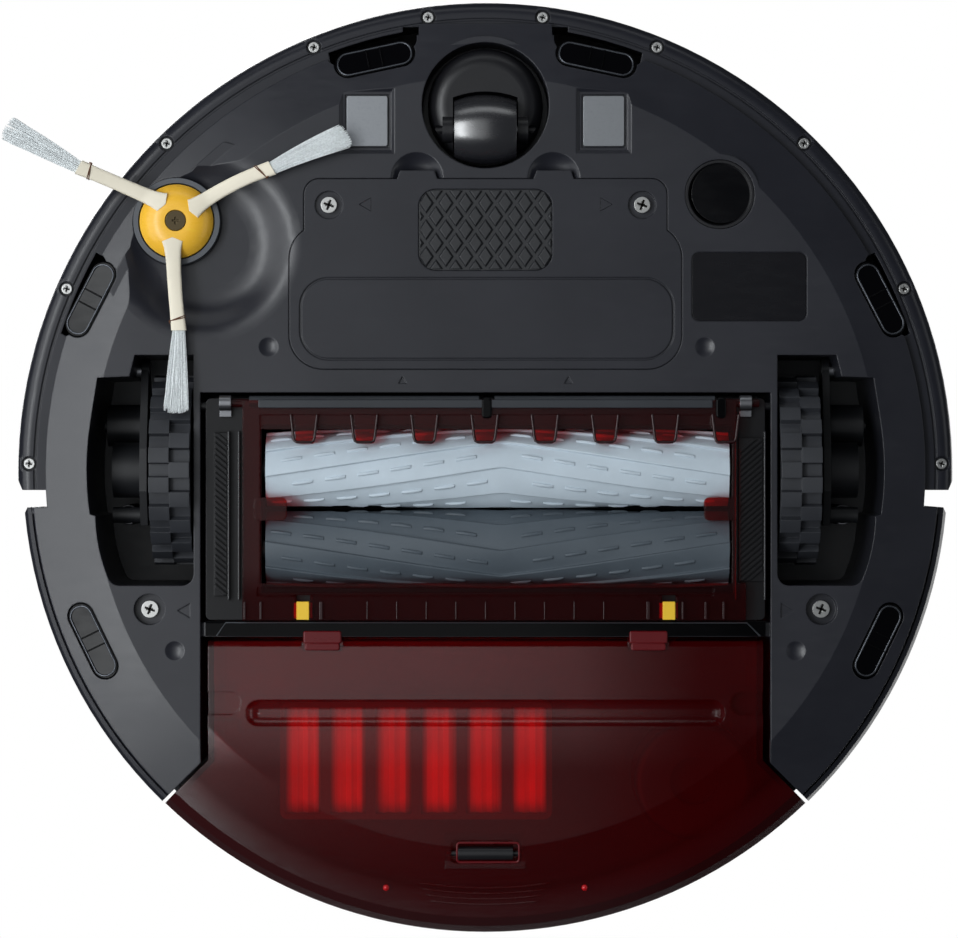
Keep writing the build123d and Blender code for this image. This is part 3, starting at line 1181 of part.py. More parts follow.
# Spring-steel clips that hold the frame's hinge pins under the housing.
with BuildPart() as frame_clips:
    for centre_x in (-97, 97):
        with BuildSketch(Plane.YZ.offset(centre_x - 2.2)):
            with Locations((FRAME_HINGE_Y, FRAME_HINGE_Z)):
                Circle(2.9)
            with Locations((FRAME_HINGE_Y + 1.4, HEAD_LOW_Z - 1)):
                Rectangle(7.4, 2)
            with Locations((FRAME_HINGE_Y, FRAME_HINGE_Z)):
                Circle(FRAME_PIN_R + PIN_CLEARANCE, mode=Mode.SUBTRACT)
            with Locations((0, HEAD_LOW_Z + 10)):
                Rectangle(80, 20, mode=Mode.SUBTRACT)
        extrude(amount=4.4)
save(frame_clips, "frame_clips")

CORE_R = 10.0
TREAD_END_R = 14.2
for label, y in (("front", FRONT_EXTRACTOR_Y), ("rear", REAR_EXTRACTOR_Y)):
    with BuildPart() as roller_core:
        with BuildSketch(Plane.YZ.offset(EXTRACTOR_LEFT_X)):
            with Locations((y, EXTRACTOR_Z)):
                Circle(CORE_R)
        extrude(amount=EXTRACTOR_RIGHT_X - EXTRACTOR_LEFT_X)
        with BuildSketch(Plane.YZ.offset(EXTRACTOR_LEFT_X - 4.5)):
            with Locations((y, EXTRACTOR_Z)):
                Circle(ROLLER_STUB_R)
        extrude(amount=EXTRACTOR_RIGHT_X - EXTRACTOR_LEFT_X + 10)
    save(roller_core, f"{label}_roller_core")

    middle_x = (EXTRACTOR_LEFT_X + EXTRACTOR_RIGHT_X) / 2
    with BuildPart() as roller_tread:
        with BuildSketch(Plane.XY.offset(EXTRACTOR_Z)):
            with BuildLine():
                Line((EXTRACTOR_LEFT_X, y + CORE_R), (EXTRACTOR_LEFT_X, y + TREAD_END_R))
                ThreePointArc(
                    (EXTRACTOR_LEFT_X, y + TREAD_END_R),
                    (middle_x, y + EXTRACTOR_R),
                    (EXTRACTOR_RIGHT_X, y + TREAD_END_R),
                )
                Line((EXTRACTOR_RIGHT_X, y + TREAD_END_R), (EXTRACTOR_RIGHT_X, y + CORE_R))
                Line((EXTRACTOR_RIGHT_X, y + CORE_R), (EXTRACTOR_LEFT_X, y + CORE_R))
            make_face()
        revolve(axis=Axis((0, y, EXTRACTOR_Z), (1, 0, 0)))
    save(roller_tread, f"{label}_roller_tread")

# ---------------------------------------------------------------- dust bin
BIN_X, BIN_FRONT_Y, BIN_CORNER_Y = 103.7, 64.0, 108.5
BIN_WALL = 2.2
BIN_LOW_Z = 9.4
DOOR_THICK = 2.2
BIN_ROLLER_Y, BIN_ROLLER_Z, BIN_ROLLER_R = 143.3, 11.6, 2.6
BIN_BUTTON_Z = 62.0
BIN_FLARE = 80.0
KNUCKLE_X, KNUCKLE_R = 60.9, 2.6
BIN_GROOVE_X, BIN_GROOVE_Y, BIN_GROOVE_R = 90.0, 90.8, 5.4
BIN_GROOVE_Z = BIN_LOW_Z - 2.0
BIN_NOTCH_Y, BIN_NOTCH_R = 87.2, 4.3
BIN_RIB_TOP_Z = 13.9

with BuildSketch() as bin_outline:
    with BuildLine():
        Polyline(
            (-BIN_X, BIN_FRONT_Y),
            (BIN_X, BIN_FRONT_Y),
            (BIN_X, BIN_CORNER_Y),
            (BIN_X + BIN_FLARE, BIN_CORNER_Y + BIN_FLARE),
            (-BIN_X - BIN_FLARE, BIN_CORNER_Y + BIN_FLARE),
            (-BIN_X, BIN_CORNER_Y),
            close=True,
        )
    make_face()

with BuildPart() as bin_space:
    with BuildSketch(Plane.XZ):
        with BuildLine():
            Polyline(
                (0, BIN_LOW_Z + BIN_WALL),
                (140.5, BIN_LOW_Z + BIN_WALL),
                (166.5, 18),
                (169.5, 21),
                (SHELL_R - BIN_WALL, 25),
                (SHELL_R - BIN_WALL, BIN_TOP_Z - BIN_WALL),
                (0, BIN_TOP_Z - BIN_WALL),
                close=True,
            )
        make_face()
    revolve(axis=Axis.Z)
    with BuildSketch():
        add(bin_outline.sketch)
        offset(amount=-BIN_WALL)
        with Locations((0, BIN_FRONT_Y)):
            Rectangle(2 * BIN_X - 2 * BIN_WALL, 30)
    extrude(amount=TOTAL_HEIGHT, mode=Mode.INTERSECT)

with BuildPart() as bin_shell:
    with BuildSketch(Plane.XZ):
        with BuildLine():
            Polyline(
                (0, BIN_LOW_Z),
                (141, BIN_LOW_Z),
                (168, 16.2),
                (171.5, 19.5),
                (SHELL_R, 24),
                (SHELL_R, BIN_TOP_Z),
                (0, BIN_TOP_Z),
                close=True,
            )
        make_face()
    revolve(axis=Axis.Z)
    with BuildSketch():
        add(bin_outline.sketch)
    extrude(amount=TOTAL_HEIGHT, mode=Mode.INTERSECT)
    add(bin_space.part, mode=Mode.SUBTRACT)
    # Housing of the little roller under the bin.
    with BuildSketch(Plane.XY.offset(BIN_LOW_Z + 1.5)):
        with Locations((0, (138 + 147.4) / 2)):
            Rectangle(30, 13)
    extrude(amount=8)
    with BuildSketch():
        with Locations((0, (138.4 + 147) / 2)):
            RectangleRounded(25.6, 8.6, 1.5)
    extrude(amount=17, mode=Mode.SUBTRACT)
    with Locations(Location((0, BIN_ROLLER_Y, BIN_ROLLER_Z), (0, 90, 0))):
        Cylinder(1.1, 29, mode=Mode.SUBTRACT)
    # Long round-bottomed groove and side notches on the underside, with thicker floor over them.
    with BuildSketch(Plane.XY.offset(BIN_LOW_Z + 1)):
        with Locations((0, BIN_GROOVE_Y)):
            Rectangle(2 * BIN_GROOVE_X + 4, 2 * BIN_GROOVE_R + 2)
        with Locations((-BIN_X + 6.5, BIN_NOTCH_Y), (BIN_X - 6.5, BIN_NOTCH_Y)):
            Rectangle(11, 2 * BIN_NOTCH_R + 4)
    extrude(amount=BIN_RIB_TOP_Z - BIN_LOW_Z - 1)
    with Locations(Location((0, BIN_GROOVE_Y, BIN_GROOVE_Z), (0, 90, 0))):
        Cylinder(BIN_GROOVE_R, 2 * BIN_GROOVE_X - 2 * BIN_GROOVE_R, mode=Mode.SUBTRACT)
    with Locations(
        (-BIN_GROOVE_X + BIN_GROOVE_R, BIN_GROOVE_Y, BIN_GROOVE_Z),
        (BIN_GROOVE_X - BIN_GROOVE_R, BIN_GROOVE_Y, BIN_GROOVE_Z),
    ):
        Sphere(BIN_GROOVE_R, mode=Mode.SUBTRACT)
    with BuildSketch(Plane.XY.offset(BIN_LOW_Z)):
        with Locations((-BIN_X + 4, BIN_NOTCH_Y), (BIN_X - 4, BIN_NOTCH_Y)):
            SlotOverall(8 + 2 * BIN_NOTCH_R, 2 * BIN_NOTCH_R)
    extrude(amount=3, mode=Mode.SUBTRACT)
    # Bevel along the front edge.
    with BuildSketch(Plane.YZ.offset(-BIN_X - 1)):
        with BuildLine():
            Polyline(
                (BIN_FRONT_Y - 0.1, BIN_LOW_Z - 0.1),
                (BIN_FRONT_Y + 2.0, BIN_LOW_Z - 0.1),
                (BIN_FRONT_Y - 0.1, BIN_LOW_Z + 2.0),
                close=True,
            )
        make_face()
    extrude(amount=2 * BIN_X + 2, mode=Mode.SUBTRACT)
    # Button hole and the front edge's hinge knuckles.
    with Locations(Location((0, SHELL_R - 2, BIN_BUTTON_Z), (90, 0, 0))):
        Box(30.8, 8.8, 12, mode=Mode.SUBTRACT)
    for x in (-KNUCKLE_X, KNUCKLE_X):
        with Locations(Location((x, BIN_FRONT_Y + 1.2, BIN_LOW_Z + KNUCKLE_R), (0, 90, 0))):
            Cylinder(KNUCKLE_R, 15.4)
save(bin_shell, "bin_shell")

with BuildPart() as bin_door:
    with BuildSketch(Plane.XZ.offset(-BIN_FRONT_Y)):
        with Locations((0, (BIN_LOW_Z + BIN_TOP_Z) / 2)):
            Rectangle(2 * BIN_X - 2 * BIN_WALL - 0.6, BIN_TOP_Z - BIN_LOW_Z - 2 * BIN_WALL - 0.6)
        with Locations((0, 37)):
            RectangleRounded(148, 11, 3, mode=Mode.SUBTRACT)
        with Locations((-KNUCKLE_X, BIN_LOW_Z + 3), (KNUCKLE_X, BIN_LOW_Z + 3)):
            Rectangle(16.4, 8, mode=Mode.SUBTRACT)
    extrude(amount=-DOOR_THICK)
save(bin_door, "bin_door")

FILTER_X0, FILTER_X1 = -77.0, 25.0
FILTER_Y0, FILTER_Y1 = 87.0, 131.0
FILTER_Z0, FILTER_Z1 = 14.9, 34.0
FILTER_PITCH = 17.0
with BuildPart() as filter_frame:
    with BuildSketch(Plane.XY.offset(FILTER_Z0)):
        with Locations(((FILTER_X0 + FILTER_X1) / 2, (FILTER_Y0 + FILTER_Y1) / 2)):
            RectangleRounded(FILTER_X1 - FILTER_X0, FILTER_Y1 - FILTER_Y0, 3)
            Rectangle(FILTER_X1 - FILTER_X0 - 4, FILTER_Y1 - FILTER_Y0 - 4, mode=Mode.SUBTRACT)
    extrude(amount=FILTER_Z1 - FILTER_Z0)
    with BuildSketch(Plane.XY.offset(FILTER_Z0)):
        with Locations(((FILTER_X0 + FILTER_X1) / 2, (FILTER_Y0 + FILTER_Y1) / 2)):
            with GridLocations(FILTER_PITCH, 1, 5, 1):
                Rectangle(3.6, FILTER_Y1 - FILTER_Y0 - 2)
    extrude(amount=3)
save(filter_frame, "filter_frame")

PLEATS = 24
with BuildPart() as filter_media:
    pleat = (FILTER_X1 - FILTER_X0 - 4.4) / PLEATS
    first_x = FILTER_X0 + 2.2
    with BuildSketch(Plane.XZ.offset(-FILTER_Y0 - 2.2)):
        with BuildLine():
            low, high, peak = FILTER_Z0 + 3.2, FILTER_Z0 + 6.5, FILTER_Z1 - 2
            zigzag = [(first_x, low)]
            for count in range(PLEATS):
                zigzag += [(first_x + (count + 0.5) * pleat, high), (first_x + (count + 1) * pleat, low)]
            Polyline(*zigzag, (zigzag[-1][0], peak), (first_x, peak), close=True)
        make_face()
    extrude(amount=-(FILTER_Y1 - FILTER_Y0 - 4.4))
save(filter_media, "filter_media")

FAN_X, FAN_Y, FAN_R = 78.5, 117.0, 22.5
with BuildPart() as vacuum_fan:
    with Locations((FAN_X, FAN_Y, 35.6)):
        Cylinder(FAN_R, 34)
    fillet(vacuum_fan.faces().sort_by(Axis.Z)[0].edges(), 3)
    with Locations((FAN_X, FAN_Y, 57)):
        Cylinder(14, 12)
    with Locations((FAN_X, FAN_Y, 19)):
        Cylinder(9, 8, mode=Mode.SUBTRACT)
save(vacuum_fan, "vacuum_fan")

with BuildPart() as bin_roller:
    with Locations(Location((0, BIN_ROLLER_Y, BIN_ROLLER_Z), (0, 90, 0))):
        Cylinder(BIN_ROLLER_R, 20.6)
        Cylinder(1.05, 27.6)
save(bin_roller, "bin_roller")

# The button that frees the bin, curved like the rear shell.
with BuildPart() as bin_button:
    with BuildSketch(Plane.XY.offset(BIN_BUTTON_Z - 4)):
        Circle(SHELL_R + 0.6)
        Circle(SHELL_R - 4, mode=Mode.SUBTRACT)
        with Locations((0, SHELL_R)):
            Rectangle(30, 20, mode=Mode.INTERSECT)
    extrude(amount=8)
    with BuildSketch(Plane.XY.offset(BIN_BUTTON_Z - 6)):
        Circle(SHELL_R - BIN_WALL - 0.3)
        Circle(SHELL_R - 4, mode=Mode.SUBTRACT)
        with Locations((0, SHELL_R)):
            Rectangle(34, 20, mode=Mode.INTERSECT)
    extrude(amount=12)
save(bin_button, "bin_button")
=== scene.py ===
import json
import math
import random

import bmesh
import bpy
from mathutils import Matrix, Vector


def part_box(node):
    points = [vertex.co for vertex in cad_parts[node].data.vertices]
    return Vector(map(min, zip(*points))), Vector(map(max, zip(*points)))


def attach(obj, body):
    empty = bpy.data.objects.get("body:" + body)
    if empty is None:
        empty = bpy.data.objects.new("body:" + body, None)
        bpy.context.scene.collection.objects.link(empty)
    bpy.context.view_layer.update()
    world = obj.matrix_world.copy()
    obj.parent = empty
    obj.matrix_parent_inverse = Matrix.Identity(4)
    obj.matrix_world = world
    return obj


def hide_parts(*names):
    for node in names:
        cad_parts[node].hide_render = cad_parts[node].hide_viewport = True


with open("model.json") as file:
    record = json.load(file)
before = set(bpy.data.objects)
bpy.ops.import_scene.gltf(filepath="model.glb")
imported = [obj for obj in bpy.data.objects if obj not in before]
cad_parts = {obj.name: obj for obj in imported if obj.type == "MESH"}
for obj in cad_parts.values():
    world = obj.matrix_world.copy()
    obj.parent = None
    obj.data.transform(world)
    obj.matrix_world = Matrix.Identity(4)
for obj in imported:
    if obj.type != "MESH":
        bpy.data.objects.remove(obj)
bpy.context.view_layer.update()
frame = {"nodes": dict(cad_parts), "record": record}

# A round robot vacuum cleaner, seen from straight below. +Z is up and the front faces -Y, so in the
# picture up is -Y and right is +X. The CAD nodes keep their shapes and get finishes here. The rollers,
# the side brush's arms and bristles and the grip patch need finer shapes, so they are built here.

MM = 0.001
PICTURE_WIDTH, PIXEL = 958, 0.375 * MM
random.seed(7)


# ---------------------------------------------------------------- finishes
def srgb(red, green, blue):
    """An 8-bit display colour as the linear colour that a shader takes."""
    linear = []
    for channel in (red, green, blue):
        share = channel / 255
        linear.append(share / 12.92 if share <= 0.04045 else ((share + 0.055) / 1.055) ** 2.4)
    return (*linear, 1.0)


def scaled(colour, factor):
    """A colour made brighter or darker."""
    return (*[min(1.0, channel * factor) for channel in colour[:3]], 1.0)


class Finish:
    """One material's node tree, with short calls for the textures that the finishes share."""

    def __init__(self, name):
        self.material = bpy.data.materials.new(name)
        self.material.use_nodes = True
        self.nodes = self.material.node_tree.nodes
        self.links = self.material.node_tree.links
        self.nodes.clear()
        self.output = self.nodes.new("ShaderNodeOutputMaterial")
        self.place = self.nodes.new("ShaderNodeTexCoord").outputs["Object"]

    def add(self, kind, inputs, **settings):
        """A node with its settings and inputs, where an input is a value or another node's socket."""
        node = self.nodes.new(kind)
        for name, value in settings.items():
            setattr(node, name, value)
        for key, value in inputs.items():
            if isinstance(value, bpy.types.NodeSocket):
                self.links.new(value, node.inputs[key])
            else:
                node.inputs[key].default_value = value
        return node

    def noise(self, size, detail=3.0, roughness=0.5, stretch=(1, 1, 1)):
        """Noise with lumps of about that size in metres, drawn out along the axes by stretch."""
        scale = [1 / (size * s) for s in stretch]
        mapped = self.add("ShaderNodeMapping", {"Vector": self.place, "Scale": scale})
        inputs = {"Vector": mapped.outputs["Vector"], "Scale": 1.0, "Detail": detail, "Roughness": roughness}
        return self.add("ShaderNodeTexNoise", inputs).outputs["Fac"]

    def ramp(self, value, low, high, start=0.3, end=0.7):
        """The value's range from start to end, spread from low to high."""
        inputs = {"Value": value, "From Min": start, "From Max": end, "To Min": low, "To Max": high}
        return self.add("ShaderNodeMapRange", inputs).outputs["Result"]

    def fade(self, value, start, end):
        """A soft step from 0 at the start to 1 at the end."""
        inputs = {"Value": value, "From Min": start, "From Max": end}
        node = self.add("ShaderNodeMapRange", inputs, interpolation_type="SMOOTHSTEP")
        return node.outputs["Result"]

    def blend(self, factor, first, second):
        """Two colours mixed by a factor."""
        node = self.add("ShaderNodeMix", {0: factor, 6: first, 7: second}, data_type="RGBA")
        return node.outputs[2]

    def sum(self, first, second, share=0.5):
        """Two texture values mixed."""
        node = self.add("ShaderNodeMix", {0: share, 2: first, 3: second}, data_type="FLOAT")
        return node.outputs[0]

    def maths(self, operation, first, second):
        """One sum on two texture values."""
        return self.add("ShaderNodeMath", {0: first, 1: second}, operation=operation).outputs["Value"]

    def rounded(self, radius):
        """A normal that shades sharp edges as if they were rounded."""
        return self.add("ShaderNodeBevel", {"Radius": radius}, samples=4).outputs["Normal"]

    def bump(self, height, depth, normal=None):
        """A normal with relief of that depth in metres."""
        inputs = {"Height": height, "Distance": depth, "Strength": 1.0}
        if normal is not None:
            inputs["Normal"] = normal
        return self.add("ShaderNodeBump", inputs).outputs["Normal"]

    def show(self, shader):
        """Ends the tree with this shader."""
        self.links.new(shader, self.output.inputs["Surface"])
        return self.material


def moulded(name, colour, roughness, grain=0.45 * MM, depth=0.012 * MM, edge=0.3 * MM, coat=0.0,
            variation=0.1, metallic=0.0, ior=1.46):
    """Moulded plastic: a fine spark-eroded grain, slow shade changes, faint scuffs and soft edges."""
    finish = Finish(name)
    clouds = finish.noise(38 * MM, detail=4)
    scuffs = finish.noise(2.2 * MM, detail=5, roughness=0.65, stretch=(5, 1.3, 2))
    darker, paler = scaled(colour, 1 - variation), scaled(colour, 1 + variation)
    base = finish.blend(finish.ramp(clouds, 0, 1), darker, paler)
    worn = finish.blend(finish.ramp(scuffs, 0, 0.3, 0.6, 0.8), base, scaled(colour, 1.6))
    gloss = finish.ramp(finish.sum(clouds, scuffs), roughness - 0.05, roughness + 0.07)
    relief = finish.bump(finish.noise(grain, detail=2), depth, finish.rounded(edge))
    inputs = {"Base Color": worn, "Roughness": gloss, "Normal": relief, "IOR": ior, "Metallic": metallic}
    if coat:
        inputs.update({"Coat Weight": coat, "Coat Roughness": 0.08})
    return finish.show(finish.add("ShaderNodeBsdfPrincipled", inputs).outputs["BSDF"])


def metal(name, colour, roughness, brush=(1, 1, 1), edge=0.3 * MM, depth=0.002 * MM):
    """Metal with fine drawn-out brushing and a few darker specks."""
    finish = Finish(name)
    lines = finish.noise(0.5 * MM, detail=3, stretch=brush)
    specks = finish.noise(1.6 * MM, detail=5, roughness=0.7)
    base = finish.blend(finish.ramp(specks, 0, 0.25, 0.5, 0.8), colour, scaled(colour, 0.5))
    gloss = finish.ramp(finish.sum(lines, specks), roughness - 0.04, roughness + 0.06)
    relief = finish.bump(lines, depth, finish.rounded(edge))
    inputs = {"Base Color": base, "Roughness": gloss, "Normal": relief, "Metallic": 1.0}
    return finish.show(finish.add("ShaderNodeBsdfPrincipled", inputs).outputs["BSDF"])


def rubber(name, colour, roughness=0.62, grain=0.3 * MM, depth=0.03 * MM, variation=0.12, edge=0.25 * MM,
           dust=0.25):
    """Soft rubber: matt, slightly uneven, with pale dust caught in its grain."""
    finish = Finish(name)
    clouds = finish.noise(16 * MM, detail=4)
    fine = finish.noise(grain, detail=3)
    dusty = finish.noise(5 * MM, detail=6, roughness=0.7)
    darker, paler = scaled(colour, 1 - variation), scaled(colour, 1 + variation)
    base = finish.blend(finish.ramp(clouds, 0, 1), darker, paler)
    pale = scaled(colour, 1.5)
    base = finish.blend(finish.ramp(dusty, 0, dust, 0.5, 0.8), base, pale)
    gloss = finish.ramp(finish.sum(clouds, fine), roughness - 0.06, roughness + 0.1)
    relief = finish.bump(fine, depth, finish.rounded(edge))
    inputs = {"Base Color": base, "Roughness": gloss, "Normal": relief, "IOR": 1.5}
    return finish.show(finish.add("ShaderNodeBsdfPrincipled", inputs).outputs["BSDF"])


def smoked(name, tint, haze, solid, roughness=0.2, ior=1.7, edge=0.6 * MM, dull=(0, 0), shaded=(0, 0),
           rim=(0, 0)):
    """Smoked see-through plastic: a tinted clear share, and a hazy share that carries the gloss.

    The gloss fades between the two places along Y in dull and those along X in shaded. Between the two
    distances from the part's middle in rim, the plastic is seen through more and more of its thickness,
    so it lets less through, and its haze colour is darkened as painted shade towards the rim.
    """
    finish = Finish(name)
    clouds = finish.noise(45 * MM, detail=3)
    scuffs = finish.noise(1.4 * MM, detail=5, roughness=0.65, stretch=(6, 1.2, 1.2))
    base = finish.blend(finish.ramp(clouds, 0, 1), scaled(haze, 0.9), scaled(haze, 1.12))
    gloss = finish.ramp(scuffs, roughness - 0.02, roughness + 0.05)
    relief = finish.bump(finish.noise(0.5 * MM, detail=2), 0.003 * MM, finish.rounded(edge))
    inputs = {"Base Color": base, "Roughness": gloss, "Normal": relief, "IOR": ior}
    spot = finish.add("ShaderNodeSeparateXYZ", {"Vector": finish.place}).outputs
    if dull[1]:
        level = finish.ramp(spot["Y"], 0.5, 0.14, *dull)
        if shaded[1]:
            side = finish.ramp(spot["X"], 1.0, 0.2, *shaded)
            level = finish.maths("MULTIPLY", level, side)
        inputs["Specular IOR Level"] = level
    thick = None
    if rim[1]:
        flat = finish.add("ShaderNodeCombineXYZ", {"X": spot["X"], "Y": spot["Y"]}).outputs["Vector"]
        radius = finish.add("ShaderNodeVectorMath", {0: flat}, operation="LENGTH").outputs["Value"]
        thick = finish.ramp(radius, 0, 1, *rim)
        # Painted shade: the haze colour is darkened towards the rim.
        inputs["Base Color"] = finish.blend(thick, base, scaled(haze, 0.4))
    body = finish.add("ShaderNodeBsdfPrincipled", inputs).outputs["BSDF"]
    clear = finish.add("ShaderNodeBsdfTransparent", {"Color": tint}).outputs["BSDF"]
    facing = finish.add("ShaderNodeLayerWeight", {"Blend": 0.3}).outputs["Facing"]
    share = finish.ramp(facing, solid, 0.95, 0, 1)
    share = finish.sum(share, finish.ramp(clouds, solid * 0.95, solid * 1.1), 0.25)
    if thick:
        share = finish.maths("MAXIMUM", share, thick)
    mixed = finish.add("ShaderNodeMixShader", {0: share, 1: clear, 2: body})
    return finish.show(mixed.outputs["Shader"])


def glow_painted_filter(name, colour, first, pitch, front, rear, glow):
    """Pleated filter paper with painted light: a glow, emission standing in for light coming through it,
    strongest in the middle of each of its windows, and painted shade, a darker base colour, outside them.
    """
    finish = Finish(name)
    spot = finish.add("ShaderNodeSeparateXYZ", {"Vector": finish.place}).outputs
    past_bar = finish.maths("SUBTRACT", spot["X"], first)
    from_bar = finish.maths("PINGPONG", past_bar, pitch / 2)
    middle_x = finish.fade(from_bar, 1.0 * MM, 5.0 * MM)
    from_front = finish.fade(spot["Y"], front, front + 14 * MM)
    from_rear = finish.fade(spot["Y"], rear, rear - 9 * MM)
    painted_glow_mask = finish.maths("MULTIPLY", middle_x, finish.maths("MULTIPLY", from_front, from_rear))
    clouds = finish.noise(14 * MM, detail=3)
    level = finish.maths("MULTIPLY", painted_glow_mask, finish.ramp(clouds, glow * 0.8, glow * 1.15))
    paper = finish.noise(0.4 * MM, detail=4)
    # Painted shade: the paper is darker outside the windows; the emission below is a painted glow, though
    # the paper is no lamp.
    base = finish.blend(painted_glow_mask, scaled(colour, 0.12), scaled(colour, 0.5))
    relief = finish.bump(paper, 0.03 * MM)
    inputs = {"Base Color": base, "Roughness": finish.ramp(paper, 0.75, 0.9), "Normal": relief,
              "Emission Color": colour, "Emission Strength": level}
    return finish.show(finish.add("ShaderNodeBsdfPrincipled", inputs).outputs["BSDF"])


def fibre(name, colour, roughness=0.4):
    """Nylon filaments: bright, a little translucent, with shade changes from strand to strand."""
    finish = Finish(name)
    strands = finish.noise(0.7 * MM, detail=2)
    base = finish.blend(finish.ramp(strands, 0, 1), scaled(colour, 0.86), scaled(colour, 1.08))
    gloss = finish.ramp(strands, roughness - 0.05, roughness + 0.1)
    inputs = {"Base Color": base, "Roughness": gloss, "Subsurface Weight": 0.25,
              "Subsurface Radius": (0.6 * MM, 0.6 * MM, 0.6 * MM), "Subsurface Scale": 1.0}
    return finish.show(finish.add("ShaderNodeBsdfPrincipled", inputs).outputs["BSDF"])


def board_finish(name):
    """A circuit board: green lacquer with copper-coloured traces."""
    finish = Finish(name)
    inputs = {"Vector": finish.place, "Scale": 260.0, "Randomness": 0.0}
    cells = finish.add("ShaderNodeTexVoronoi", inputs, distance="MANHATTAN").outputs["Distance"]
    traces = finish.ramp(cells, 0, 1, 0.42, 0.46)
    base = finish.blend(traces, srgb(18, 62, 40), srgb(110, 104, 52))
    relief = finish.bump(traces, 0.03 * MM, finish.rounded(0.2 * MM))
    inputs = {"Base Color": base, "Roughness": finish.ramp(cells, 0.3, 0.45), "Normal": relief}
    return finish.show(finish.add("ShaderNodeBsdfPrincipled", inputs).outputs["BSDF"])


# The filter's windows, where its painted glow lies: the middle of a bar, the bars' pitch, and the windows'
# front and rear ends
FILTER_FIRST_X, FILTER_PITCH = -77 * MM, 17 * MM
FILTER_FRONT, FILTER_REAR = 84 * MM, 132 * MM

BODY = srgb(30, 31, 38)
SHELL = srgb(28, 29, 36)
finishes = {
    "body_plastic": moulded("body_plastic", BODY, 0.34, edge=0.6 * MM, ior=1.53),
    "shell_plastic": moulded("shell_plastic", SHELL, 0.32, depth=0.008 * MM, edge=0.6 * MM),
    "top_plastic": moulded("top_plastic", srgb(44, 45, 49), 0.4),
    "face_plastic": moulded("face_plastic", srgb(16, 16, 18), 0.16, depth=0.003 * MM, coat=0.7),
    "trim_metal": metal("trim_metal", srgb(150, 152, 156), 0.3, brush=(1, 1, 12)),
    "lens_plastic": moulded("lens_plastic", srgb(5, 5, 7), 0.1, depth=0.001 * MM, ior=1.22, edge=0.9 * MM),
    "cover_plastic": moulded("cover_plastic", srgb(30, 31, 38), 0.34, edge=0.6 * MM, ior=1.5),
    "grip_rubber": rubber("grip_rubber", srgb(34, 35, 38), 0.45),
    "screw_steel": metal("screw_steel", srgb(206, 206, 204), 0.3),
    "battery_wrap": moulded("battery_wrap", srgb(24, 50, 92), 0.35),
    "contact_metal": metal("contact_metal", srgb(150, 153, 157), 0.38, brush=(1, 14, 1)),
    "black_plastic": moulded("black_plastic", srgb(22, 22, 25), 0.34),
    "board": board_finish("board"),
    "gear_plastic": moulded("gear_plastic", srgb(26, 27, 30), 0.45),
    "ring_plastic": moulded("ring_plastic", srgb(82, 86, 92), 0.42),
    "axle_steel": metal("axle_steel", srgb(135, 136, 140), 0.32, brush=(10, 1, 1)),
    "spring_steel": metal("spring_steel", srgb(120, 120, 124), 0.3),
    "rim_plastic": moulded("rim_plastic", srgb(30, 31, 34), 0.5),
    "tyre_rubber": rubber("tyre_rubber", srgb(42, 44, 49), 0.5, edge=0.5 * MM),
    "caster_plastic": moulded("caster_plastic", srgb(22, 22, 27), 0.3, depth=0.004 * MM, ior=1.36),
    "hub_yellow": moulded("hub_yellow", srgb(246, 190, 58), 0.26, variation=0.05),
    "arm_rubber": rubber("arm_rubber", srgb(236, 228, 208), 0.5, variation=0.05, dust=0.0),
    "bristle": fibre("bristle", srgb(238, 243, 244)),
    "frame_red": smoked("frame_red", srgb(252, 66, 68), srgb(40, 10, 13), 0.24, roughness=0.25,
                        dull=(36 * MM, 46 * MM)),
    "latch_yellow": moulded("latch_yellow", srgb(232, 190, 48), 0.36, variation=0.05),
    "core_plastic": moulded("core_plastic", srgb(60, 62, 66), 0.5),
    "roller_pale": rubber("roller_pale", srgb(188, 201, 211), 0.5, variation=0.05, dust=0.1),
    "roller_grey": rubber("roller_grey", srgb(73, 82, 90), 0.5, variation=0.06, dust=0.1),
    "bin_red": smoked("bin_red", srgb(252, 30, 32), srgb(74, 6, 11), 0.24, ior=2.7,
                      dull=(90 * MM, 112 * MM), shaded=(35 * MM, 80 * MM),
                      rim=(154 * MM, 168 * MM)),
    "filter_plastic": moulded("filter_plastic", srgb(96, 22, 22), 0.6),
    "filter_white": glow_painted_filter("filter_white", srgb(255, 236, 226), FILTER_FIRST_X, FILTER_PITCH,
                               FILTER_FRONT, FILTER_REAR, 0.34),
    "fan_plastic": moulded("fan_plastic", srgb(6, 6, 7), 0.5),
    "button_plastic": moulded("button_plastic", srgb(30, 30, 33), 0.3, coat=0.3),
    "button_metal": metal("button_metal", srgb(170, 172, 176), 0.3, brush=(1, 1, 8)),
    "handle_plastic": moulded("handle_plastic", srgb(28, 28, 31), 0.36),
}

slot_of = {part["node"]: part["material_slot"] for part in frame["record"]["subparts"]}
for node, piece in frame["nodes"].items():
    slot = slot_of[node]
    piece.data.materials.clear()
    piece.data.materials.append(finishes[slot])


# ---------------------------------------------------------------- mesh helpers
def build(name, mesh, slot, body, replaced=(), smooth=40, bevel=0.0, material=None):
    """Turns a bmesh in metres into a piece that rides on a body, with its finish and its soft edges."""
    bmesh.ops.recalc_face_normals(mesh, faces=mesh.faces)
    data = bpy.data.meshes.new(name)
    mesh.to_mesh(data)
    mesh.free()
    piece = bpy.data.objects.new(name, data)
    bpy.context.scene.collection.objects.link(piece)
    data.materials.append(material or finishes[slot])
    for face in data.polygons:
        face.use_smooth = True
    if bevel:
        rounding = piece.modifiers.new("edges", "BEVEL")
        rounding.width = bevel
        rounding.segments = 2
        rounding.limit_method = "ANGLE"
        rounding.angle_limit = math.radians(35)
        rounding.harden_normals = False
    data.set_sharp_from_angle(angle=math.radians(smooth))
    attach(piece, body)
    if replaced:
        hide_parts(*replaced)
    return piece


